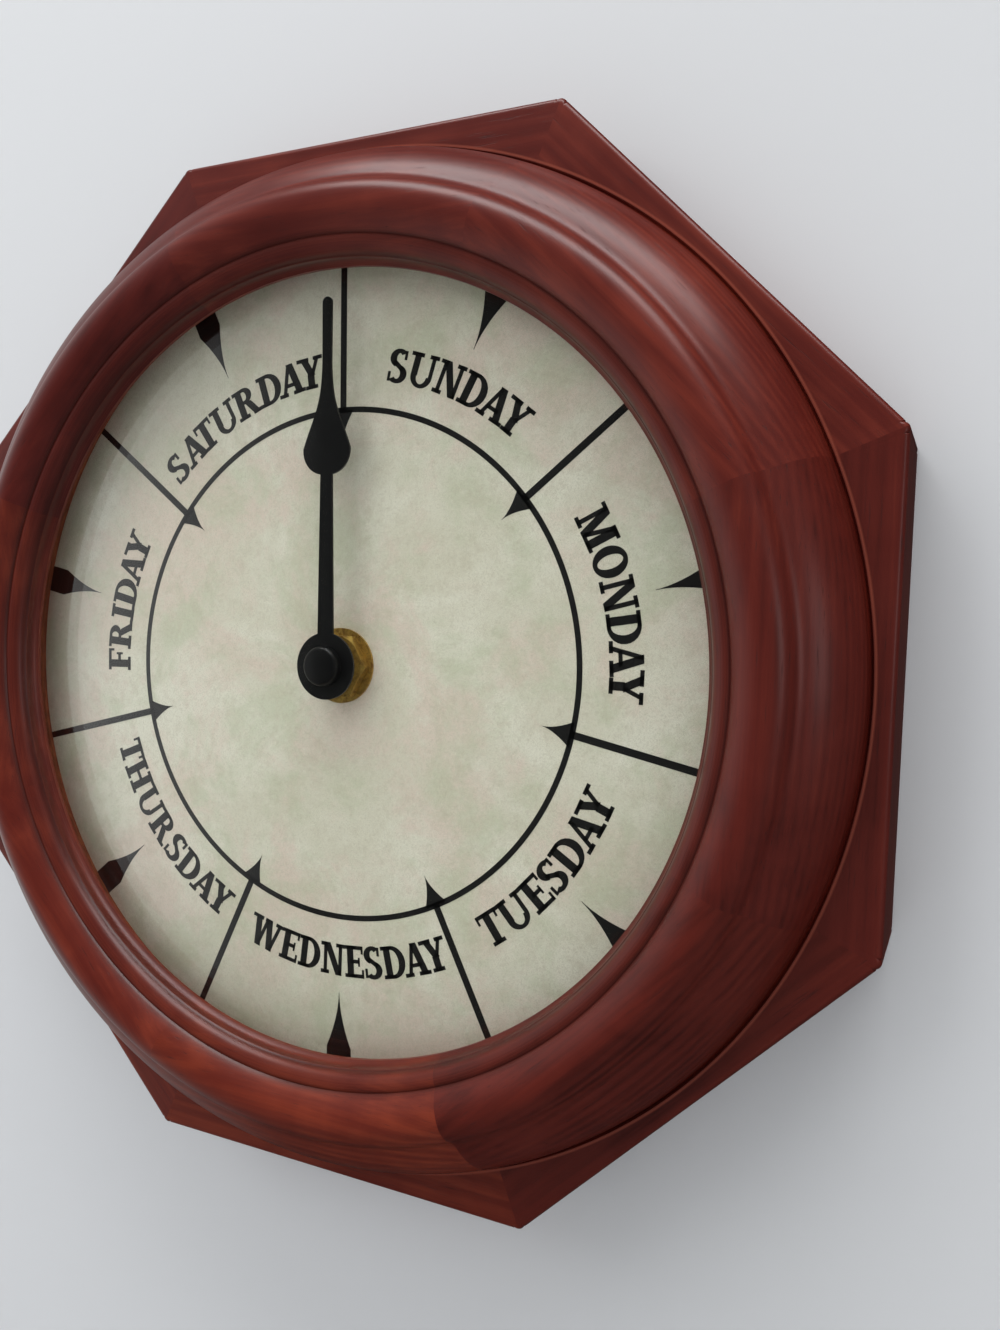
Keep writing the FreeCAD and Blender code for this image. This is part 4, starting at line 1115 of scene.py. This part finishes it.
# %% [markdown]
# The closed nut on the hand's middle is small but sits in the centre of the picture, and its
# soft crown is remade as a smooth turned piece.

# %% Cap nut
cap_low, cap_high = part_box("cap_nut")
CAP_RADIUS = (cap_high.x - cap_low.x) / 2 / MM
CAP_FOOT = (DIAL_Y - cap_high.y) / MM
CAP_TOP = (DIAL_Y - cap_low.y) / MM
CAP_BORE = 1.65
CAP_ROOF = 0.6
CAP_ROUND = 1.0
CAP_SWELL = 0.25
CAP_CHAMFER = 0.15


def cap_section():
    """From the bore's top down its side, along the foot, up the side and over the crown."""
    points = [(CAP_BORE, CAP_TOP - CAP_ROOF), (CAP_BORE, CAP_FOOT)]
    points += [(CAP_RADIUS - CAP_CHAMFER, CAP_FOOT), (CAP_RADIUS, CAP_FOOT + CAP_CHAMFER)]
    flat = CAP_RADIUS - CAP_ROUND
    for k in range(10):
        t = math.radians(10 * k)
        height = CAP_TOP - CAP_SWELL - CAP_ROUND + CAP_ROUND * math.sin(t)
        points.append((flat + CAP_ROUND * math.cos(t), height))
    for k in range(1, 9):
        reach = 0.01 + flat * (1 - k / 8)
        points.append((reach, CAP_TOP - CAP_SWELL * (reach / flat) ** 2))
    return points + [(0.01, CAP_TOP - CAP_ROOF)]


cap_mesh = swept("crowned_cap_nut", [cap_section()] * len(FULL_TURN), FULL_TURN, True)
cap = add_piece("crowned_cap_nut", cap_mesh, "hand_assembly")
cap_mesh.materials.append(black_enamel)
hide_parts("cap_nut")
print("cap nut", round(2 * CAP_RADIUS, 1), "mm across")

# %% [markdown]
# ## Wall, floor and light
# The clock hangs on a pale wall. The wall is one-sided: from behind it is clear, so that the
# back of the clock can be looked at too, and for the same reason it catches the clock's shadow
# but holds back no light itself. A large soft lamp stands at the upper left and a long one
# overhead draws the highlights on the moulding. The glass would mirror the left lamp as a
# white square, so that lamp is kept out of reflections, and a veil of room light on the left
# takes its place there. A small lamp at the right shows only in reflections, where it draws a
# line along the moulding, and one behind the clock lights its back.

# %% Wall and floor
def pale_wall():
    finish = Finish("pale_wall", Roughness=0.9)
    point = place(finish)
    cloud = noise(point, 0.3, 2.0)
    finish.paint(cloud, srgb(203, 205, 207), srgb(209, 211, 214))
    behind = finish.node("ShaderNodeNewGeometry", {}, {}, 6)
    clear = finish.node("ShaderNodeBsdfTransparent")
    surface = Wire(finish, finish.shader.outputs[0])
    finish.show(finish.node("ShaderNodeMixShader", {}, [behind, surface, clear]))
    return finish.material


def stage_sheet(name, corners, material):
    mesh = bpy.data.meshes.new(name)
    mesh.from_pydata(corners, [], [tuple(range(len(corners)))])
    mesh.materials.append(material)
    sheet = bpy.data.objects.new(name, mesh)
    bpy.context.scene.collection.objects.link(sheet)
    sheet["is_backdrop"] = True
    return sheet


WALL_HALF = 2.0
FLOOR_Z = -0.9
WALL_Y = BACK_Y + 0.2 * MM
wall_material = pale_wall()
wall = stage_sheet("wall", [
    (-WALL_HALF, WALL_Y, FLOOR_Z), (WALL_HALF, WALL_Y, FLOOR_Z),
    (WALL_HALF, WALL_Y, WALL_HALF), (-WALL_HALF, WALL_Y, WALL_HALF)], wall_material)
wall.visible_shadow = False
wall.visible_diffuse = False
wall.visible_glossy = False
floor = stage_sheet("floor", [
    (-WALL_HALF, -WALL_HALF, FLOOR_Z), (WALL_HALF, -WALL_HALF, FLOOR_Z),
    (WALL_HALF, WALL_HALF, FLOOR_Z), (-WALL_HALF, WALL_HALF, FLOOR_Z)], wall_material)
floor.visible_glossy = False
print("wall at y", round(WALL_Y, 4), "floor at z", FLOOR_Z)


# %% Lamps
def soft_lamp(name, place_at, size, watts):
    """A four-sided lamp that faces the dial's centre."""
    data = bpy.data.lights.new(name, "AREA")
    data.shape = "RECTANGLE"
    data.size, data.size_y = size
    data.energy = watts
    lamp = bpy.data.objects.new(name, data)
    bpy.context.scene.collection.objects.link(lamp)
    lamp.location = DIAL_CENTRE + Vector(place_at)
    lamp.rotation_euler = (DIAL_CENTRE - lamp.location).to_track_quat("-Z", "Y").to_euler()
    return lamp


window = soft_lamp("window_lamp", (-0.80, -0.95, 0.85), (0.9, 0.9), 6)
window.visible_glossy = False
soft_lamp("ceiling_lamp", (0.0, -0.44, 1.40), (1.6, 0.6), 22)
side = soft_lamp("side_lamp", (0.95, -0.55, 0.10), (0.35, 0.35), 0.7)
side.visible_diffuse = False
rear = soft_lamp("rear_lamp", (0.0, 1.4, 0.2), (0.9, 0.9), 8)
rear.visible_glossy = False


# %% [markdown]
# The world lights every surface evenly and is pale where the camera sees it. A glossy ray
# meets a dark room instead that brightens to the left: that is the veil in the glass.

# %% World light
def room_light():
    """Even light for surfaces, with a brighter left side for what mirrors the room."""
    world = bpy.data.worlds.new("room")
    world.use_nodes = True
    bpy.context.scene.world = world
    nodes, links = world.node_tree.nodes, world.node_tree.links
    background = next(n for n in nodes if n.type == "BACKGROUND")
    direction = nodes.new("ShaderNodeTexCoord")
    split = nodes.new("ShaderNodeSeparateXYZ")
    links.new(direction.outputs["Generated"], split.inputs[0])
    left = nodes.new("ShaderNodeMapRange")
    for socket, value in zip(left.inputs[1:5], (-0.55, -0.97, 0.03, 0.85)):
        socket.default_value = value
    links.new(split.outputs[0], left.inputs["Value"])
    path = nodes.new("ShaderNodeLightPath")
    choose = nodes.new("ShaderNodeMix")
    links.new(path.outputs["Is Glossy Ray"], choose.inputs[0])
    choose.inputs[2].default_value = 0.66
    links.new(left.outputs[0], choose.inputs[3])
    seen = nodes.new("ShaderNodeMix")
    links.new(path.outputs["Is Camera Ray"], seen.inputs[0])
    links.new(choose.outputs[0], seen.inputs[2])
    seen.inputs[3].default_value = 0.86
    links.new(seen.outputs[0], background.inputs["Strength"])
    background.inputs["Color"].default_value = (1, 1, 1, 1)


room_light()
print("world:", bpy.context.scene.world.name)
bpy.context.scene.view_settings.view_transform = "Standard"

# %% [markdown]
# ## The size of both
# The dressed clock has to stay inside the imported one, so the sizes of both boxes are printed.

# %% Print the two boxes
look_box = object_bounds()
boxes = {"cad": [list(c) for c in cad_box], "visual": [list(c) for c in look_box]}
for label, (low, high) in boxes.items():
    print(label, [round((h - l) / MM, 2) for l, h in zip(low, high)])
